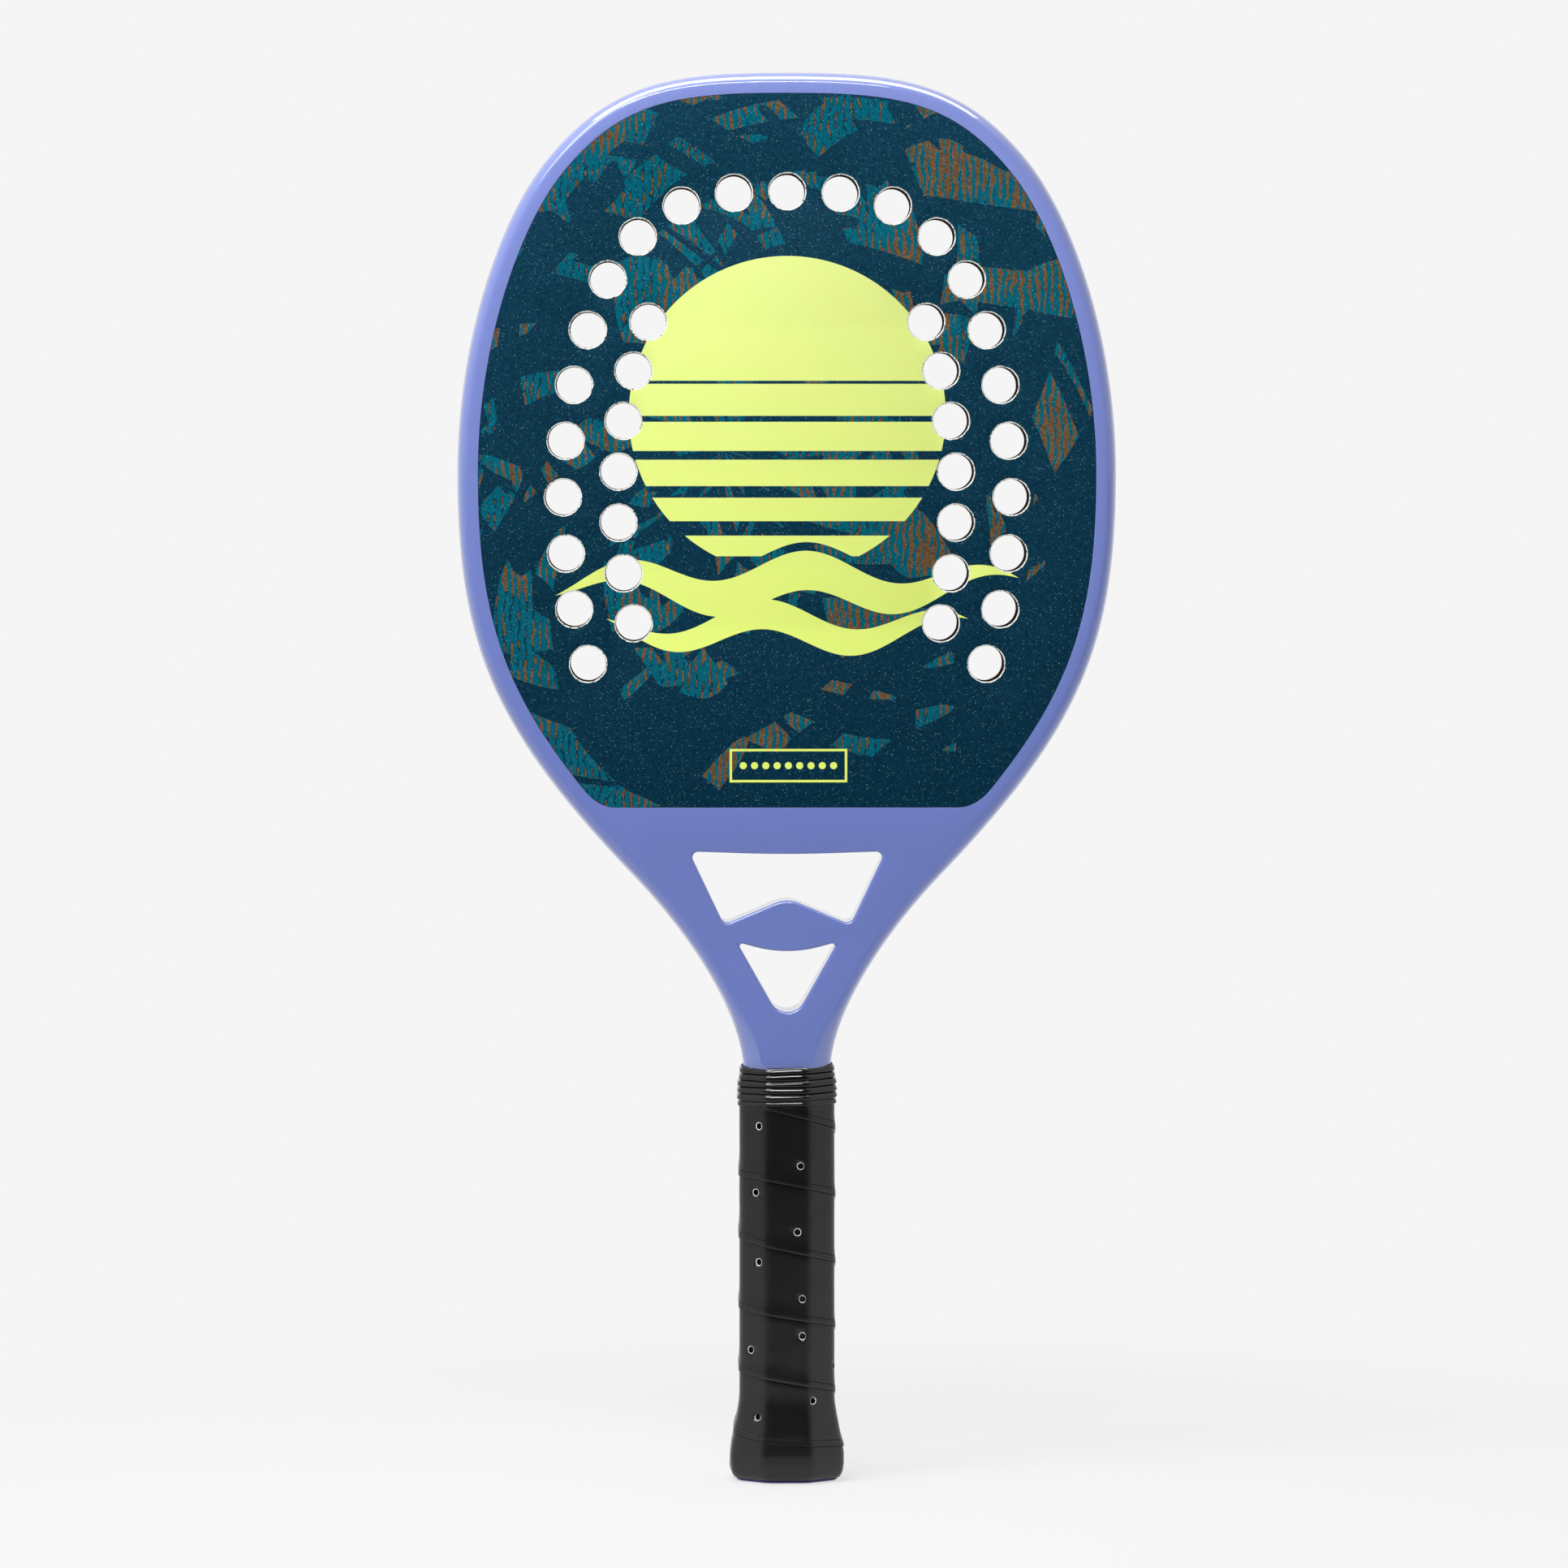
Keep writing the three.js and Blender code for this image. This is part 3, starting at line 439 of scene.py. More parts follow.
# Fine grain: a height made of two sizes of bumps, as on sprayed lacquer, moulded rubber and foam
values = {"Place": (0.0, 0.0, 0.0), "Scale": 900.0, "Coarse": 0.5}
grain_group, given, result = effect("fine_grain", values, "Height")
fine = cloudy(grain_group, given["Place"], given["Scale"])
broad = cloudy(grain_group, given["Place"], calc(grain_group, "MULTIPLY", given["Scale"], 0.22), 1.0)
height = calc(grain_group, "MULTIPLY_ADD", broad, given["Coarse"], fine)
plug(grain_group, result, height)


def marked(tree, at, scale, low=0.0, high=1.0):
    sockets = {"Place": at, "Scale": scale, "Low": low, "High": high}
    return node(tree, "Group", sockets, node_tree=marks_group).outputs[0]


def grained(tree, at, scale, coarse=0.5):
    sockets = {"Place": at, "Scale": scale, "Coarse": coarse}
    return node(tree, "Group", sockets, node_tree=grain_group).outputs[0]


# The lacquer's colour is painted paler towards the crown as painted light, because the crown is lit more than
# the throat. Its roughness stays above the level under which the renderer's denoiser takes a surface for a
# mirror, because crossing it leaves patches.
LIT_CROWN_FROM, LIT_CROWN_TO = 0.27, 0.5
lacquer, tree, shader = finish("lilac_lacquer", Coat_Weight=1.0, Coat_Roughness=0.04, Specular_IOR_Level=0.2)
at = place_on(tree)
at_height = node(tree, "SeparateXYZ", {0: at}).outputs[2]
# Painted light: the base colour grows paler towards the crown, in place of the stronger light there
painted_light_crownwards = ramp(tree, at_height, LIT_CROWN_FROM, LIT_CROWN_TO)
tint = blend_colour(tree, marked(tree, at, 6.0), colour(111, 126, 194), colour(112, 128, 196))
feed(
    tree, shader,
    Base_Color=blend_colour(tree, painted_light_crownwards, tint, colour(127, 140, 206)),
    Roughness=marked(tree, at, 60.0, 0.285, 0.32),
    Normal=raised(tree, grained(tree, at, 650.0, 1.2), 0.12, 0.00006),
)
shell = piece_of(bm, "frame_shell", lacquer)
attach(shell, "root")
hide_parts("frame_tube", "head_bridge", "throat_yoke")

# Faces: two stiff skins of fibre and resin, printed under a gritty clear coat that bites the ball. Each is
# glued flush into the frame's border, and the holes are drilled through both, which leaves a pale bare edge.
SKIN_THICKNESS = 1
SKIN_GAP = 0.12
SKIN_EDGE = 0.1
HOLE_RADIUS = 6.36
HOLE_POINTS = 48
CHIPPING = 0.16
ROW_RADIUS = 201.8
ROW_GAP = 19.4
HOLE_PITCH = 19.95
ROW_REACH, ROW_HEIGHT = 79.3, 349.9
CROWN_HOLE_HEIGHT = 457.8
CROWN_HANDLE, ROW_HANDLE = 0.48, 1.08
ARCH_POINTS = 200
ARCH_GAPS = 5
# Each drilled edge from the face down, as its radius and how deep it lies
hole_edge = [(6.80, 0), (6.62, 0.08), (6.46, 0.24), (6.38, 0.5), (HOLE_RADIUS, SKIN_THICKNESS)]


def hole_centres():
    """Two bent rows of seven holes on each side, and an arch of nine that joins the outer rows."""
    middle = Vector((ROW_REACH - ROW_RADIUS, ROW_HEIGHT))
    turn = HOLE_PITCH / ROW_RADIUS

    def on_row(row_radius, angle):
        return middle + heading(math.degrees(angle)) * row_radius

    outer = [on_row(ROW_RADIUS, k * turn) for k in range(-3, 4)]
    inner = [on_row(ROW_RADIUS - ROW_GAP, (k + 0.5) * turn) for k in range(-3, 4)]
    crown, top = Vector((0, CROWN_HOLE_HEIGHT)), outer[-1]
    rise = crown.y - top.y
    along_row = Vector((math.sin(3 * turn), -math.cos(3 * turn)))
    handles = crown + Vector((rise * CROWN_HANDLE, 0)), top - along_row * rise * ROW_HANDLE
    fine = geometry.interpolate_bezier(crown, *handles, top, ARCH_POINTS)
    run = [0]
    for a, b in zip(fine, fine[1:]):
        run.append(run[-1] + (b - a).length)
    stops = [run[-1] * k / ARCH_GAPS for k in range(1, ARCH_GAPS)]
    arch = [min(zip(run, fine), key=lambda pair: abs(pair[0] - stop))[1] for stop in stops]
    right = arch + outer + inner
    return [crown] + right + [Vector((-x, z)) for x, z in right]


def ring_around(centre, radius, chip=0.0):
    """Points clockwise round a hole; chip roughens its radius."""
    ring = []
    for k in range(HOLE_POINTS):
        way = heading(-360 * k / HOLE_POINTS)
        rough = noise.noise(Vector((*(centre + way * 4), radius)))
        rough += 0.6 * noise.noise(Vector((*(centre + way * 14), 3)))
        ring.append(centre + way * (radius + chip * rough))
    return ring


holes = hole_centres()


def cover_ends(bm, walls):
    """Fills the flat front and back between the walls' first rows and between their last rows."""
    for end in (0, -1):
        edges = [rows[end] for rows in walls]
        fill_flat(bm, [[Vector((x, z)) for x, _, z in edge] for edge in edges], edges[0][0].y)


def skin():
    """The front skin; its holes' edges have the second material."""
    bm = bmesh.new()
    rim = face_outline(SKIN_GAP)
    hole_rows = []
    for centre in holes:
        rows = []
        for radius, sunk in hole_edge:
            rough = ring_around(centre, radius, CHIPPING if sunk < SKIN_THICKNESS else 0)
            rows.append([Vector((x, sunk - HALF_THICKNESS, z)) for x, z in rough])
        hole_rows.append(rows)
    rim_rows = [
        front_edge(rim, SKIN_EDGE, lambda _: HALF_THICKNESS),
        front_edge(rim, 0, lambda _: HALF_THICKNESS - SKIN_EDGE),
        front_edge(rim, 0, lambda _: HALF_THICKNESS - SKIN_THICKNESS),
    ]
    cover_ends(bm, [rim_rows] + hole_rows)
    lay(bm, rim_rows, closed=True)
    for rows in hole_rows:
        for vertex in lay(bm, rows, closed=True):
            for face in vertex.link_faces:
                face.material_index = 1
    close_up(bm)
    return bm


bare_edge, tree, shader = finish("bare_fibre_edge", Roughness=0.8)
fleck = cloudy(tree, place_on(tree), 1400.0, 3.0)
feed(
    tree, shader,
    Base_Color=blend_colour(tree, ramp(tree, fleck, 0.56, 0.64), colour(232, 231, 224), colour(70, 66, 60)),
    Normal=raised(tree, fleck, 0.6, 0.0001),
)

# The print, in millimetres across and up: navy ground, striped blotches of teal and bronze, and in lime a
# barred sun over two waves with a small plate of dots at the foot
print_finish, tree, shader = finish("printed_face", Specular_IOR_Level=0.04)
at = place_on(tree)
print_place = node(tree, "VectorMath", {0: at, "Scale": 1000.0}, operation="SCALE").outputs[0]
across, _, up = node(tree, "SeparateXYZ", {0: print_place}).outputs


def step_length(x, z):
    """The length of a step of x across and z up."""
    return calc(tree, "SQRT", calc(tree, "ADD", calc(tree, "MULTIPLY", x, x), calc(tree, "MULTIPLY", z, z)))


# The blotches: two layers of blades that fan out from a point on the face, each cut by a crossing layer, and
# fewer of them near the foot. A layer is its twist for each millimetre outwards, its blades' fineness, their
# length, its seed, and the level above which it shows.
FAN_ACROSS, FAN_UP = -22.0, 366.0
FEWER_FROM, FEWER_TO = 350.0, 250.0
FEWER_BY = 0.052
blade_layers = [(0.006, 4.0, 70, 6.4, 0.52), (-0.011, 4.6, 52, 12.9, 0.53)]
fan_across, fan_up = calc(tree, "SUBTRACT", across, FAN_ACROSS), calc(tree, "SUBTRACT", up, FAN_UP)
fan_angle = calc(tree, "ARCTAN2", fan_up, fan_across)
away = step_length(fan_across, fan_up)


def blades(spin, wide, long, seed):
    """A noise stretched outwards from the fan's point, so that its patches are long blades."""
    angle = calc(tree, "MULTIPLY_ADD", away, spin, fan_angle)
    place = node(tree, "CombineXYZ", {
        0: calc(tree, "MULTIPLY", calc(tree, "COSINE", angle), wide),
        1: calc(tree, "MULTIPLY_ADD", away, 1 / long, seed),
        2: calc(tree, "MULTIPLY", calc(tree, "SINE", angle), wide),
    }).outputs[0]
    sockets = {"Vector": place, "Scale": 1.0, "Detail": 1.5, "Roughness": 0.4, "Distortion": 0.25}
    return node(tree, "TexNoise", sockets).outputs[0]


fewer = ramp(tree, up, FEWER_TO, FEWER_FROM, FEWER_BY, 0.0)
blotches = []
for spin, wide, long, seed, level in blade_layers:
    needed = calc(tree, "ADD", fewer, level)
    first = calc(tree, "GREATER_THAN", blades(spin, wide, long, seed), needed)
    needed = calc(tree, "SUBTRACT", needed, 0.05)
    crossing = blades(spin * -2.4, wide * 0.7, long * 0.7, seed + 21.4)
    blotches.append(calc(tree, "MULTIPLY", first, calc(tree, "GREATER_THAN", crossing, needed)))
blotch = calc(tree, "MAXIMUM", *blotches)

# Inside them, upright lines of teal that waver and break, and bronze that fills between them in some zones
LINE_TURN = 2.4
LINE_WAVER = 13.0
LINE_BREAKS = 4.4
TEAL_ABOVE = 0.75
waver = calc(tree, "MULTIPLY", cloudy(tree, print_place, 0.11, 3.0, 0.6), LINE_WAVER)
lines = calc(tree, "SINE", calc(tree, "MULTIPLY_ADD", across, LINE_TURN, waver))
break_place = node(tree, "VectorMath", {0: print_place, 1: (1.0, 1.0, 0.45)}, operation="MULTIPLY").outputs[0]
breaks = cloudy(tree, break_place, 0.42, 2.0, 0.7)
lines = calc(tree, "MULTIPLY_ADD", breaks, LINE_BREAKS, calc(tree, "SUBTRACT", lines, 0.9))
bronze_field = calc(tree, "MULTIPLY_ADD", across, 0.0012, cloudy(tree, print_place, 0.03, 1.0))
bronze_zone = ramp(tree, bronze_field, 0.42, 0.6, 0.3, 1.7)
teal_ink = calc(tree, "MULTIPLY", blotch, calc(tree, "GREATER_THAN", lines, TEAL_ABOVE))
bronze_ink = calc(tree, "MULTIPLY", blotch, calc(tree, "LESS_THAN", lines, bronze_zone))

# The inks, each mottled by the grit under it. From the face's foot to its top the navy and lime change as
# painted light: the navy is painted lighter towards the top, where the light is stronger
INK_LIGHT_FROM, INK_LIGHT_TO = 240.0, 490.0
painted_light_share = ramp(tree, up, INK_LIGHT_FROM, INK_LIGHT_TO)
mottle = ramp(tree, cloudy(tree, print_place, 1.5, 2.0, 0.75), 0.34, 0.66)
shaded_low_navy = blend_colour(tree, mottle, colour(0, 34, 52), colour(6, 53, 74))
lit_high_navy = blend_colour(tree, mottle, colour(4, 43, 63), colour(17, 65, 86))
navy = blend_colour(tree, painted_light_share, shaded_low_navy, lit_high_navy)
teal = blend_colour(tree, mottle, colour(0, 76, 94), colour(0, 100, 119))
bronze = blend_colour(tree, mottle, colour(76, 55, 34), colour(118, 91, 62))
ground = blend_colour(tree, teal_ink, navy, teal)
ground = blend_colour(tree, bronze_ink, ground, bronze)

# The lime sun, with bars cut out of it that widen downwards
SUN_RADIUS, SUN_HEIGHT = 56.0, 379.0
BARS_TOP = 391.0
BAR_PITCH = 12.4
BAR_WIDENING = 0.075
sun = calc(tree, "LESS_THAN", step_length(across, calc(tree, "SUBTRACT", up, SUN_HEIGHT)), SUN_RADIUS)
below = calc(tree, "SUBTRACT", BARS_TOP, up)
bar_width = calc(tree, "MULTIPLY_ADD", below, BAR_WIDENING, 1.0)
bars = calc(tree, "LESS_THAN", calc(tree, "MODULO", below, BAR_PITCH), bar_width)
bars = calc(tree, "MULTIPLY", bars, calc(tree, "GREATER_THAN", below, 0.0))
sun = calc(tree, "MULTIPLY", sun, calc(tree, "SUBTRACT", 1.0, bars))

# Two lime waves under it, with a clear line between the upper one and the sun
WAVE_LENGTH = 64
WAVE_SWING = 5.0
WAVE_CLEARANCE = 10.0


def wave_band(height, half_width, half_thickness, start):
    """How far a place lies above a wave's middle line, and the wave's mask; it thins towards its ends."""
    swing = calc(tree, "SINE", calc(tree, "MULTIPLY_ADD", across, math.tau / WAVE_LENGTH, start))
    rise = calc(tree, "SUBTRACT", up, calc(tree, "MULTIPLY_ADD", swing, WAVE_SWING, height))
    taper = calc(tree, "SUBTRACT", 1.0, calc(tree, "POWER", calc(tree, "DIVIDE", across, half_width), 2.0))
    thick = calc(tree, "MULTIPLY", calc(tree, "MAXIMUM", taper, 0.0), half_thickness)
    return rise, calc(tree, "LESS_THAN", calc(tree, "ABSOLUTE", rise), thick)


upper_rise, upper_wave = wave_band(319.0, 82.0, 7.0, 0.9)
_, lower_wave = wave_band(303.5, 64.0, 5.4, 2.4)
sun = calc(tree, "MULTIPLY", sun, calc(tree, "GREATER_THAN", upper_rise, WAVE_CLEARANCE))

# The plate at the foot: a thin lime border round a row of dots
PLATE_ACROSS, PLATE_UP = 0.4, 254.9
PLATE_HALF_WIDTH, PLATE_HALF_HEIGHT = 20.4, 5.5
BORDER_HALF_WIDTH = 0.44
DOT_HALF_PITCH = 2.0
DOT_RADIUS = 1.265
DOTS_HALF_WIDTH = 17.5
plate_x = calc(tree, "ABSOLUTE", calc(tree, "SUBTRACT", across, PLATE_ACROSS))
plate_z = calc(tree, "ABSOLUTE", calc(tree, "SUBTRACT", up, PLATE_UP))
past_side = calc(tree, "SUBTRACT", plate_x, PLATE_HALF_WIDTH)
past_top = calc(tree, "SUBTRACT", plate_z, PLATE_HALF_HEIGHT)
from_border = calc(tree, "ABSOLUTE", calc(tree, "MAXIMUM", past_side, past_top))
border = calc(tree, "LESS_THAN", from_border, BORDER_HALF_WIDTH)
from_dot = step_length(calc(tree, "PINGPONG", plate_x, DOT_HALF_PITCH), plate_z)
dots = calc(tree, "LESS_THAN", from_dot, DOT_RADIUS)
dots = calc(tree, "MULTIPLY", dots, calc(tree, "LESS_THAN", plate_x, DOTS_HALF_WIDTH))
lime = sun
for mask in (upper_wave, lower_wave, border, dots):
    lime = calc(tree, "MAXIMUM", lime, mask)
# Painted light: the lime is painted paler and duller towards the top
lime_ink = blend_colour(tree, painted_light_share, colour(223, 242, 111), colour(215, 227, 144))
picture = blend_colour(tree, lime, ground, lime_ink)

# The grit of the clear coat: specks that stand up, with pale glints painted into their colour, plain on the
# dark inks and faint on the lime
SPECKS_PER_MM = 1.35
SPECK_LIGHT, LIME_DIMS = 0.34, 0.32
sparkle = node(tree, "TexVoronoi", {"Vector": print_place, "Scale": SPECKS_PER_MM}, feature="F1").outputs
speck_size = node(tree, "SeparateColor", {0: sparkle["Color"]}).outputs[0]
speck = calc(tree, "LESS_THAN", sparkle["Distance"], calc(tree, "MULTIPLY_ADD", speck_size, 0.27, -0.03))
speck_light = calc(tree, "SUBTRACT", SPECK_LIGHT, calc(tree, "MULTIPLY", lime, LIME_DIMS))
speck_light = calc(tree, "MULTIPLY", speck, speck_light)
grit = calc(tree, "MULTIPLY_ADD", speck, 0.5, grained(tree, at, 1500.0, 0.4))
feed(
    tree, shader,
    Base_Color=blend_colour(tree, speck_light, picture, colour(158, 208, 218)),
    Roughness=marked(tree, at, 30.0, 0.5, 0.62),
    Normal=raised(tree, grit, 0.35, 0.00008),
)

front = piece_of(skin(), "front_skin", print_finish, bare_edge)
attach(front, "root")
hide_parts("front_face")
bm = skin()
bmesh.ops.scale(bm, vec=(1, -1, 1), verts=bm.verts)
bmesh.ops.reverse_faces(bm, faces=bm.faces)
rear = piece_of(bm, "rear_skin", print_finish, bare_edge)
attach(rear, "root")
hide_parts("rear_face")

# Core: a slab of dark foam that fills the hoop between the skins. Only the walls of the drilled holes show,
# where the drill has torn its cells open.
GLUE_LINE = 0.02
CORE_STEPS = 8
TEAR_DEPTH = 0.22
TEAR_FINENESS = 1.3
bm = bmesh.new()
core_half = HALF_THICKNESS - SKIN_THICKNESS - GLUE_LINE
core_rows = [[Vector((x, depth, z)) for x, z in face_outline(SKIN_GAP)] for depth in (-core_half, core_half)]
hole_rows = []
for centre in holes:
    rows = []
    for k in range(CORE_STEPS + 1):
        depth = mix(-core_half, core_half, k / CORE_STEPS)
        torn = 0 if k in (0, CORE_STEPS) else TEAR_DEPTH
        row = []
        for x, z in ring_around(centre, HOLE_RADIUS):
            cell = Vector((x * TEAR_FINENESS, depth * TEAR_FINENESS, z * TEAR_FINENESS))
            rough = torn * noise.noise(cell)
            way = (Vector((x, z)) - centre).normalized()
            row.append(Vector((x + way.x * rough, depth, z + way.y * rough)))
        rows.append(row)
    hole_rows.append(rows)
walls = [core_rows] + hole_rows
cover_ends(bm, walls)
for rows in walls:
    lay(bm, rows, closed=True)
close_up(bm)
foam, tree, shader = finish("torn_foam", Roughness=0.95, Specular_IOR_Level=0.05)
cells = node(tree, "TexVoronoi", {"Vector": place_on(tree), "Scale": 1600.0}).outputs["Distance"]
feed(
    tree, shader,
    Base_Color=blend_colour(tree, cells, colour(12, 9, 8), colour(46, 36, 28)),
    Normal=raised(tree, cells, 0.9, 0.0003),
)
core = piece_of(bm, "core_foam", foam)
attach(core, "root")
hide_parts("foam_core")

# Butt cap: a violet moulded plastic cap over the end of the handle, flared so that the hand can't slip off.
# It is pushed on and held by a staple in each side; the wrap covers all but its rounded sole.
CORNER_EASE = 2.2
FACET_STEPS, CORNER_STEPS = 4, 4
FAR_OFFSET = 4
WRAP_THICKNESS = 1.7
WRAP_CLEARANCE = 0.05
# Heights, and how far the wrap's outside stands off the octagon there
wrap_outside = [
    (-1, 0.2), (0.3, 2.6), (1.2, 3.9), (2.4, 4.75), (4, 5.25), (6.6, 5.5), (10, 5.45), (13.6, 5.0),
    (17, 4.2), (20.5, 3.6), (24, 2.95), (28, 2.3), (31, 2.15), (134.3, 2.15), (135, 1.5), (160, 1.5),
]


def outside_at(height):
    """How far the wrap's outside stands off the octagon: over the flared cap below, the bare handle above."""
    for (low, near), (high, far) in zip(wrap_outside, wrap_outside[1:]):
        if height <= high:
            return mix(near, far, (height - low) / (high - low))
    return wrap_outside[-1][1]


def plan_points(offset):
    """Points round the octagon from its front left corner, to the right as seen from the front."""
    half_width, half_depth, front_half, side_half = octagon(offset)
    half_ring = [
        Vector((-front_half, -half_depth)), Vector((front_half, -half_depth)),
        Vector((half_width, -side_half)), Vector((half_width, side_half)),
    ]
    corners = half_ring + [-corner for corner in half_ring]
    ring = []
    for i, corner in enumerate(corners):
        before, after = corners[i - 1], corners[(i + 1) % 8]
        start = corner + (before - corner).normalized() * CORNER_EASE
        end = corner + (after - corner).normalized() * CORNER_EASE
        handles = start.lerp(corner, BEND_PULL), end.lerp(corner, BEND_PULL)
        ring += geometry.interpolate_bezier(start, *handles, end, CORNER_STEPS + 1)
        following = after + (corner - after).normalized() * CORNER_EASE
        ring += [end.lerp(following, k / FACET_STEPS) for k in range(1, FACET_STEPS)]
    return ring


plan_near = plan_points(0)
plan_far = plan_points(FAR_OFFSET)
plan_size = len(plan_near)


def round_handle(index, offset, height, scale=1):
    """The place at one of the plan's points, an offset out from the bare octagon, at a height."""
    x, y = plan_near[index % plan_size].lerp(plan_far[index % plan_size], offset / FAR_OFFSET)
    return Vector((x * scale, y * scale, height))


# The cap from the middle of its sole, up its outside and down its inside: how much of the plan each ring
# spans, how far it stands off the octagon, and its height
cap_profile = [
    (0.02, 0.4, 0), (0.3, 0.4, 0), (0.62, 0.4, 0), (0.9, 0.4, 0), (1, 1.2, 0),
    (1, 2.3, 0.08), (1, 2.95, 0.36), (1, 3.2, 0.75), (1, 3.1, 1.02), (1, 2.2, 1.1),
]
for height in (1.8, 3, 5, 8, 11, 14, 17, 20, 23):
    cap_profile.append((1, outside_at(height) - WRAP_THICKNESS - WRAP_CLEARANCE, height))
cap_profile += [
    (1, 0.45, 26.4), (1, 0.2, 27), (1, -0.1, 27), (1, -0.38, 26.7),
    (1, -0.38, 3.1), (0.9, -0.38, 3.0), (0.4, -0.38, 3.0), (0.02, -0.38, 3.0),
]
bm = bmesh.new()
rows = []
for scale, offset, height in cap_profile:
    rows.append([round_handle(k, offset, height, scale) for k in range(plan_size)])
lay(bm, rows, closed=True)
close_up(bm)
violet, tree, shader = finish("violet_plastic", IOR=1.47)
at = place_on(tree)
feed(
    tree, shader,
    Base_Color=blend_colour(tree, marked(tree, at, 120.0), colour(42, 24, 104), colour(54, 34, 122)),
    Roughness=marked(tree, at, 200.0, 0.34, 0.5),
    Normal=raised(tree, grained(tree, at, 2200.0), 0.3, 0.00005),
)
cap = piece_of(bm, "flared_butt_cap", violet)
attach(cap, "root")
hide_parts("butt_cap")

# Wrap: one long strip of soft black grip tape, wound up from the butt so that each turn's lower edge laps
# over the turn below, and punched with two rows of small breathing holes.
WRAP_FOOT = 1.12
WRAP_TOP = 142.9
WINDINGS = 8
LAST_SEAM = 141.5
LEAST_STRIP = 1.2
FULL_STRIP = 14
LAP = 3.5
LAP_STAND = 0.42
LAP_EASE = 1.5
LAST_LAP = 132
INSIDE = -1.65
OVER_LAP = -0.44
SWELL, PUCKER = 0.07, 0.02
SWELL_LIMIT = 0.05
FINE_WELD = 1e-4
# How high over a lap's edge the tape has sunk to each share of the lap's stand, with the crease at its end
lap_fade = [(1.3, 0.86), (2.1, 0.72), (2.22, 0.2), (2.34, 0.5), (3.4, 0.3), (4.7, 0.1), (6.2, 0)]
# The lower edge of the winding, from the top down: turns from the front's middle, and height
seam_knots = [
    (-0.75, 149.5), (-0.25, 137.6), (-0.065, 132.9), (0.25, 124.1), (0.75, 109.6), (0.935, 107.4),
    (1.25, 100.4), (1.75, 87.7), (1.935, 83.8), (2.25, 76.5), (2.75, 62.6), (2.935, 59.6),
    (3.25, 53.7), (3.75, 40.1), (3.935, 36.7), (4.25, 30.6), (4.75, 18.5), (4.935, 14.6),
    (5.25, 11.6), (5.75, 2.0), (6.25, -6), (7.5, -20),
]


def seam_height(turn):
    """The height of the strip's lower edge, on a smooth curve through the knots."""
    k = max(i for i in range(1, len(seam_knots) - 2) if i == 1 or seam_knots[i][0] <= turn)
    (t0, h0), (t1, h1), (t2, h2), (t3, h3) = seam_knots[k - 1 : k + 3]
    share = (turn - t1) / (t2 - t1)
    rise1 = (h2 - h0) / (t2 - t0) * (t2 - t1)
    rise2 = (h3 - h1) / (t3 - t1) * (t2 - t1)
    a, b = share * share * (3 - 2 * share), share * (1 - share)
    return mix(h1, h2, a) + b * ((1 - share) * rise1 - share * rise2)


def strip_profile(turn):
    """The strip's section as [height, offset] points: up its outside from its lower edge, down its inside."""
    low, high = seam_height(turn), seam_height(turn - 1)
    lapped = smooth_share(low, WRAP_FOOT, WRAP_FOOT + LAP_EASE)
    lapped *= 1 - smooth_share(low, LAST_LAP, LAST_LAP + LAP_EASE)
    stand = LAP_STAND * lapped
    low = max(low, WRAP_FOOT)
    tight = min(1, (high - low) / FULL_STRIP)
    outer = [
        (low + 0.02, stand - LAP_STAND), (low, stand - 0.25), (low + 0.1, stand - 0.08), (low + 0.32, stand),
    ]
    outer += [(low + rise * tight, stand * share) for rise, share in lap_fade]
    outer += [(mix(low + lap_fade[-1][0] * tight, high - 0.5, k / 9), 0) for k in range(1, 10)]
    outer += [
        (high - 0.12, -0.06), (high + 0.25, -0.3), (high + 1, -0.47),
        (high + LAP - 0.2, -0.47), (high + LAP, -0.6),
    ]
    under = mix(INSIDE, OVER_LAP, lapped)
    inner = [
        (high + LAP, INSIDE + 0.15), (high, INSIDE), (mix(low, high, 0.6), INSIDE),
        (low + (LAP + 1.4) * tight, INSIDE), (low + (LAP + 0.4) * tight, mix(INSIDE, under, 0.7)),
        (low + LAP * tight, under), (low + 0.6, under),
    ]
    top = WRAP_TOP + 0.05 * turn
    return [(min(top + 0.004 * k, height), offset) for k, (height, offset) in enumerate(outer + inner)]


# How far round each point of the plan lies, in turns from the middle of the front
lengths = []
for k in range(plan_size):
    lengths.append((plan_far[k - 1] - plan_far[k]).length + (plan_near[k - 1] - plan_near[k]).length)
start = sum(lengths[1 : CORNER_STEPS + FACET_STEPS // 2 + 1])
phases = [(sum(lengths[1 : k + 1]) - start) / sum(lengths) for k in range(plan_size)]
bm = bmesh.new()
rows = []
for step in range(plan_size * WINDINGS):
    turn = step // plan_size - 1 + phases[step % plan_size]
    if seam_height(turn) < LAST_SEAM and seam_height(turn - 1) > WRAP_FOOT + LEAST_STRIP:
        row = []
        for height, offset in strip_profile(turn):
            place = round_handle(step, outside_at(height) + offset, height)
            swell = SWELL * noise.noise(place / 7) + PUCKER * noise.noise(place / 2.6)
            row.append(round_handle(step, outside_at(height) + offset + min(SWELL_LIMIT, swell), height))
        rows.append(row)
lay(bm, rows, closed=True)
close_up(bm, FINE_WELD)
grip_tape, tree, shader = finish("black_grip_tape")
at = place_on(tree)
feed(
    tree, shader,
    Base_Color=blend_colour(tree, marked(tree, at, 70.0), colour(10, 10, 10), colour(15, 14, 14)),
    Roughness=marked(tree, at, 110.0, 0.285, 0.34),
    Normal=raised(tree, grained(tree, at, 2600.0, 0.9), 0.35, 0.00006),
)
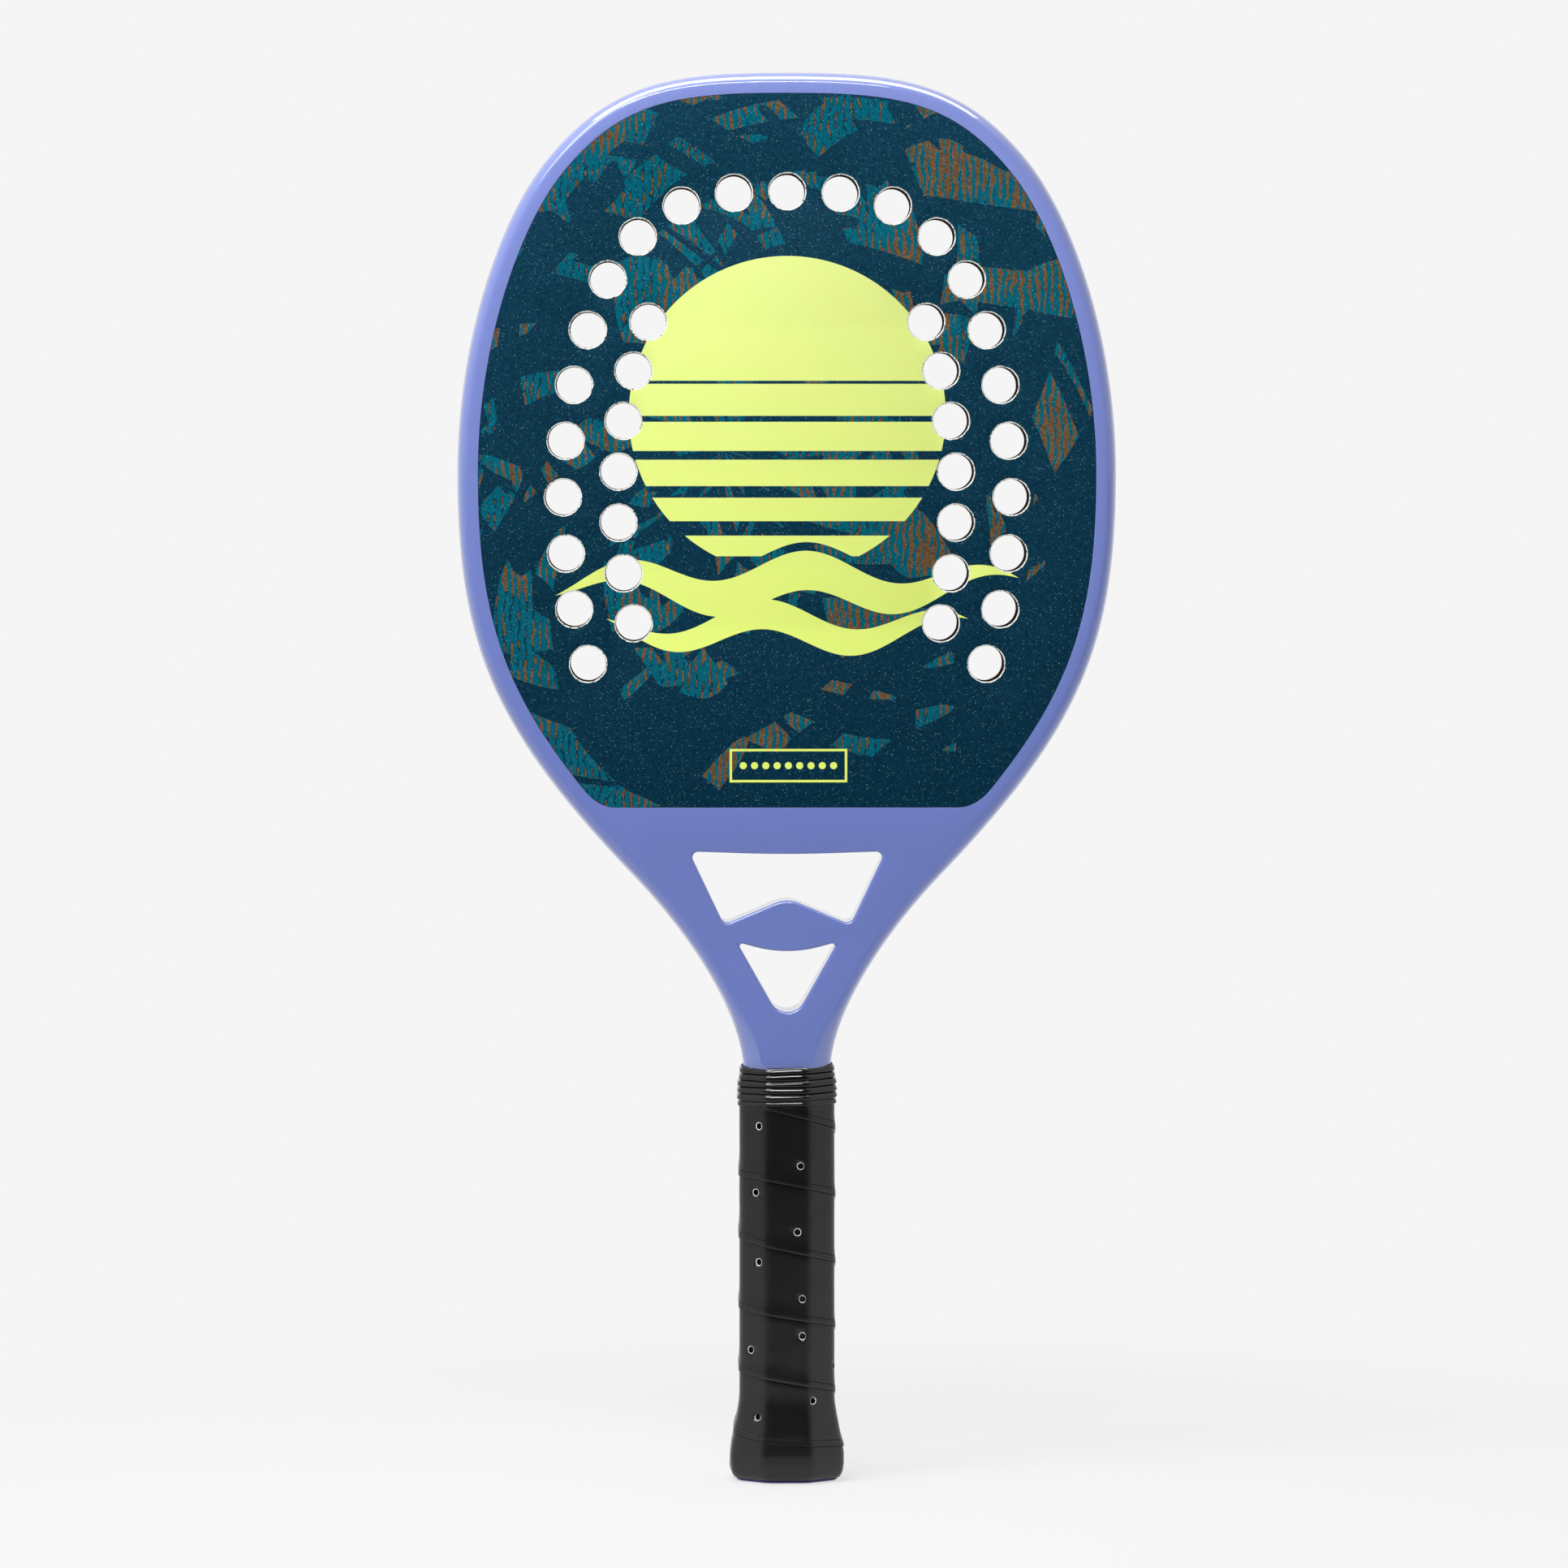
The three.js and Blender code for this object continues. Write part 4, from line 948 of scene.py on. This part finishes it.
# Each hole's edge is pressed in, and the pale ring round it is a painted highlight that stands for the light
# the pressed edge catches
edge_highlight, tree, shader = finish("tape_edge_painted_highlight")
at = place_on(tree)
feed(
    tree, shader,
    Base_Color=blend_colour(tree, marked(tree, at, 700.0), colour(206, 206, 204), colour(248, 247, 243)),
    Roughness=marked(tree, at, 500.0, 0.3, 0.5),
    Normal=raised(tree, grained(tree, at, 3000.0), 0.3, 0.00005),
)
wrap = piece_of(bm, "wound_grip", grip_tape, edge_highlight)

# The punched holes: turns from the front's middle, and height, each with its fellows round the handle
punched = [
    (-0.104, 127.0), (0.045, 113.0), (-0.118, 103.3), (0.034, 89.5), (-0.104, 78.6),
    (0.051, 65.7), (0.051, 52.5), (-0.139, 47.1), (0.092, 29.3), (-0.104, 23.5),
]
PUNCH_STEPS = 20
# The punch as its radius and height over the tape; between the third and fourth points it presses the edge, and
# that band is painted pale as a highlight
punch_profile = [(0, -1.3), (1.08, -1.3), (1.14, -0.16), (1.44, 0.02), (1.48, 0.7), (0, 0.7)]
pressed_highlight_low, pressed_highlight_high = punch_profile[2][1], punch_profile[3][1]
shifted = [(phase + 0.5) % 1 - 0.5 for phase in phases]


def on_tape(at_turn, height):
    """The place on the tape's outside at a turn and a height, and the way out from it."""
    phase = (at_turn + 0.5) % 1 - 0.5
    k = min(range(plan_size), key=lambda i: abs(shifted[i] - phase))
    k = k - 1 if shifted[k] > phase else k
    share = (phase - shifted[k]) / ((shifted[(k + 1) % plan_size] - shifted[k]) % 1)
    near, far = (round_handle(i, outside_at(height), height) for i in (k, k + 1))
    return near.lerp(far, share), Vector((far.y - near.y, near.x - far.x, 0)).normalized()


def punch_at(bm, spot, out):
    """Adds one punch that stands in the tape at a spot."""
    placed = set(bm.verts)
    line = [bm.verts.new((radius, 0, deep)) for radius, deep in punch_profile]
    turned = line + [bm.edges.new(pair) for pair in zip(line, line[1:])]
    bmesh.ops.spin(
        bm, geom=turned, axis=(0, 0, 1), cent=(0, 0, 0), angle=math.tau, steps=PUNCH_STEPS, use_merge=True,
    )
    fresh = set(bm.verts) - placed
    for face in {face for vertex in fresh for face in vertex.link_faces}:
        face.material_index = int(pressed_highlight_low < face.calc_center_median().z < pressed_highlight_high)
    turnover = out.to_track_quat("Z", "X").to_matrix().to_4x4()
    bmesh.ops.transform(bm, matrix=Matrix.Translation(spot) @ turnover, verts=list(fresh))


bm = bmesh.new()
for turn, height in punched:
    strips = range(WINDINGS - 1)
    whole = min(strips, key=lambda k: abs(mix(seam_height(turn + k), seam_height(turn + k - 1), 0.5) - height))
    for third in range(3):
        at_turn = turn + whole + third / 3
        at_height = height + seam_height(at_turn) - seam_height(turn + whole)
        punch_at(bm, *on_tape(at_turn, at_height))
close_up(bm)
punch = piece_of(bm, "punch", grip_tape, edge_highlight)
cut = wrap.modifiers.new("punched", "BOOLEAN")
cut.object = punch
cut.solver = "MANIFOLD"
bpy.context.view_layer.update()
punched_mesh = bpy.data.meshes.new_from_object(wrap.evaluated_get(bpy.context.evaluated_depsgraph_get()))
wrap.modifiers.clear()
wrap.data = punched_mesh
bpy.data.objects.remove(punch)
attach(wrap, "root")
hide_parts("grip_wrap")

# Collar: a stretchy ribbed ring of black rubber, rolled down over the end of the wrap and its finishing tape.
# It grips by its own tension, so it lies a little crooked and its ribs are uneven.
COLLAR_FOOT = 133.9
COLLAR_HEIGHT = 14.6
SIDE_TILT = 0.022
FRONT_SAG = 0.6
UNEVEN = 0.3
RIB_PITCH = 2.38
# How far each rib's crest stands off the octagon, from the foot up
rib_crests = [2.85, 3.05, 3.0, 2.9, 2.35, 2.15]
# A rib's outside, as the share of its pitch and how far it lies in from its crest: steep below its crest,
# with a long, nearly flat side above it
rib_curve = [
    (0.03, 0.74), (0.07, 0.42), (0.14, 0.15), (0.24, 0.03), (0.36, 0),
    (0.48, 0.05), (0.58, 0.145), (0.8, 0.39), (0.91, 0.6),
]
bm = bmesh.new()
profile = []
for rib, crest in enumerate(rib_crests):
    profile += [(COLLAR_FOOT + RIB_PITCH * (rib + rise), crest - inwards) for rise, inwards in rib_curve]
top = COLLAR_FOOT + RIB_PITCH * len(rib_crests)
profile += [
    (top, 1.35), (top - 0.4, 1.12), (top - 1.5, 1.1), (143.9, 1.3),
    (143.2, 2.02), (140, 2.02), (COLLAR_FOOT + 0.5, 1.8), (COLLAR_FOOT, 2.05),
]
rows = []
for height, offset in profile:
    row = []
    for k in range(plan_size):
        x, y = round_handle(k, offset, 0).xy
        sag = FRONT_SAG * math.cos(math.atan2(x, -y)) * (height - COLLAR_FOOT) / COLLAR_HEIGHT
        strayed = UNEVEN * noise.noise(Vector((x * 0.06, y * 0.06, height * 0.55 + 19.5)))
        row.append(round_handle(k, offset, height + SIDE_TILT * x - sag + strayed))
    rows.append(row)
rows.append(rows[0])
lay(bm, rows, closed=True)
close_up(bm)
rubber, tree, shader = finish("black_rubber")
at = place_on(tree)
feed(
    tree, shader,
    Base_Color=blend_colour(tree, marked(tree, at, 160.0), colour(7, 7, 7), colour(14, 14, 14)),
    Roughness=marked(tree, at, 300.0, 0.15, 0.17),
    Normal=raised(tree, grained(tree, at, 1800.0), 0.06, 0.00003),
)
collar = piece_of(bm, "ribbed_collar", rubber)
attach(collar, "root")
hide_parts("grip_collar")

# Hidden in the handle: foam plugs in the feet of the legs, a staple in each side of the cap, white cloth tape
# under the wrap and a turn of black tape that ends it. They keep their solids and get their own finishes.
wire, tree, shader = finish("staple_wire", Metallic=1.0)
at = place_on(tree)
drawn = node(tree, "Mapping", {"Vector": at, "Scale": (1, 1, 30)}).outputs[0]
feed(
    tree, shader,
    Base_Color=blend_colour(tree, marked(tree, drawn, 600.0), colour(170, 174, 178), colour(196, 199, 202)),
    Roughness=marked(tree, at, 900.0, 0.22, 0.4),
)


def cloth_tape(name, dark, light):
    """Woven tape: two crossing sets of threads drawn as ridges round and up the handle."""
    made, tree, shader = finish(name, Roughness=0.75)
    at = place_on(tree)
    threads = [
        node(tree, "TexWave", {"Vector": at, "Scale": 420.0, "Distortion": 0.6}, bands_direction=way).outputs[1]
        for way in ("X", "Z")
    ]
    weave = calc(tree, "MULTIPLY", *threads)
    blend = blend_colour(tree, weave, dark, light)
    feed(tree, shader, Base_Color=blend, Normal=raised(tree, weave, 0.5, 0.0001))
    return made


hidden_finishes = {
    "left_leg_plug": foam,
    "right_leg_plug": foam,
    "cap_staple_left": wire,
    "cap_staple_right": wire,
    "handle_tape": cloth_tape("white_cloth_tape", colour(196, 190, 176), colour(226, 222, 210)),
    "finishing_tape": cloth_tape("black_cloth_tape", colour(14, 14, 14), colour(30, 30, 30)),
}
for name, made in hidden_finishes.items():
    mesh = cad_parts[name].data
    mesh.materials.clear()
    mesh.materials.append(made)

# Studio: a plain pale floor that runs to the horizon in a pale room with soft boxes. The room is pale behind
# and beside the racket; its end in front of the face is darker, and so is what the face reflects. The floor is
# clear from below, so that the butt's sole can be looked at.
ROOM_TONE = colour(245, 245, 245)
PAPER_TONE = colour(250, 250, 250)
FLOOR_RADIUS = 60000
FLOOR_DROP = 0.2
DARK_END = 0.03
ROOM_LIGHT = 0.72
AIM_HEIGHT = 0.28


def eye_and_gloss(tree):
    """Whether a ray comes from the camera, and whether it comes off a gloss or through something clear."""
    seen = node(tree, "LightPath").outputs
    return seen["Is Camera Ray"], calc(tree, "MAXIMUM", seen["Is Glossy Ray"], seen["Is Transmission Ray"])


bm = bmesh.new()
lowered = Matrix.Translation((0, 0, -FLOOR_DROP))
bmesh.ops.create_circle(bm, cap_ends=True, cap_tris=False, segments=64, radius=FLOOR_RADIUS, matrix=lowered)
paper, tree, shader = finish("floor_paper", Base_Color=PAPER_TONE, Roughness=1.0, Specular_IOR_Level=0.0)
at = place_on(tree)
far = node(tree, "VectorMath", {0: at}, operation="LENGTH").outputs["Value"]
plainness = ramp(tree, far, 0.06, 0.5, 0.7)
paleness = ramp(tree, node(tree, "SeparateXYZ", {0: at}).outputs[1], -0.6, -0.12, DARK_END)
eye, gloss = eye_and_gloss(tree)
shown = calc(tree, "MAXIMUM", eye, paleness)
plain = node(tree, "Emission", {"Color": ROOM_TONE, "Strength": shown})
plain_share = calc(tree, "MULTIPLY", calc(tree, "MAXIMUM", eye, gloss), plainness)
mixed = node(tree, "MixShader", {0: plain_share, 1: shader.outputs[0], 2: plain.outputs[0]})
clear = node(tree, "BsdfTransparent")
from_below = node(tree, "NewGeometry").outputs["Backfacing"]
mixed = node(tree, "MixShader", {0: from_below, 1: mixed.outputs[0], 2: clear.outputs[0]})
plug(tree, tree.nodes["Material Output"].inputs["Surface"], mixed.outputs[0])
floor = piece_of(bm, "floor", paper)

room = bpy.data.worlds.new("room")
room.use_nodes = True
tree = room.node_tree
way = node(tree, "TexCoord").outputs["Generated"]
paleness = ramp(tree, node(tree, "SeparateXYZ", {0: way}).outputs[1], -0.7, -0.15, DARK_END)
eye, gloss = eye_and_gloss(tree)
looks = calc(tree, "MAXIMUM", eye, calc(tree, "MULTIPLY", gloss, paleness))
room_light = calc(tree, "MULTIPLY", paleness, ROOM_LIGHT)
strength = node(tree, "Mix", {0: looks, 2: room_light, 3: 1.0}).outputs[0]
feed(tree, tree.nodes["Background"], Color=ROOM_TONE, Strength=strength)
scene.world = room


def soft_box(name, place, width, height, power):
    """A soft box turned towards the middle of the racket."""
    lamp = bpy.data.lights.new(name, "AREA")
    lamp.shape = "RECTANGLE"
    lamp.size, lamp.size_y, lamp.energy = width, height, power
    made = bpy.data.objects.new(name, lamp)
    made.location = place
    made.rotation_euler = (Vector((0, 0, AIM_HEIGHT)) - Vector(place)).to_track_quat("-Z", "Y").to_euler()
    scene.collection.objects.link(made)
    return made


# A shallow key box above and in front, and a box to the upper left
soft_box("key_box", (-0.1, -0.8, 1.08), 0.5, 0.12, 5.7)
soft_box("side_box", (-0.42, -0.36, 0.96), 0.4, 0.4, 4.2)
# A wide scrim overhead shows only in the gloss, as the bright line along every edge that faces up
scrim = soft_box("overhead_scrim", (0, 0.1, 1.9), 2.2, 1.0, 70)
scrim.visible_diffuse = False
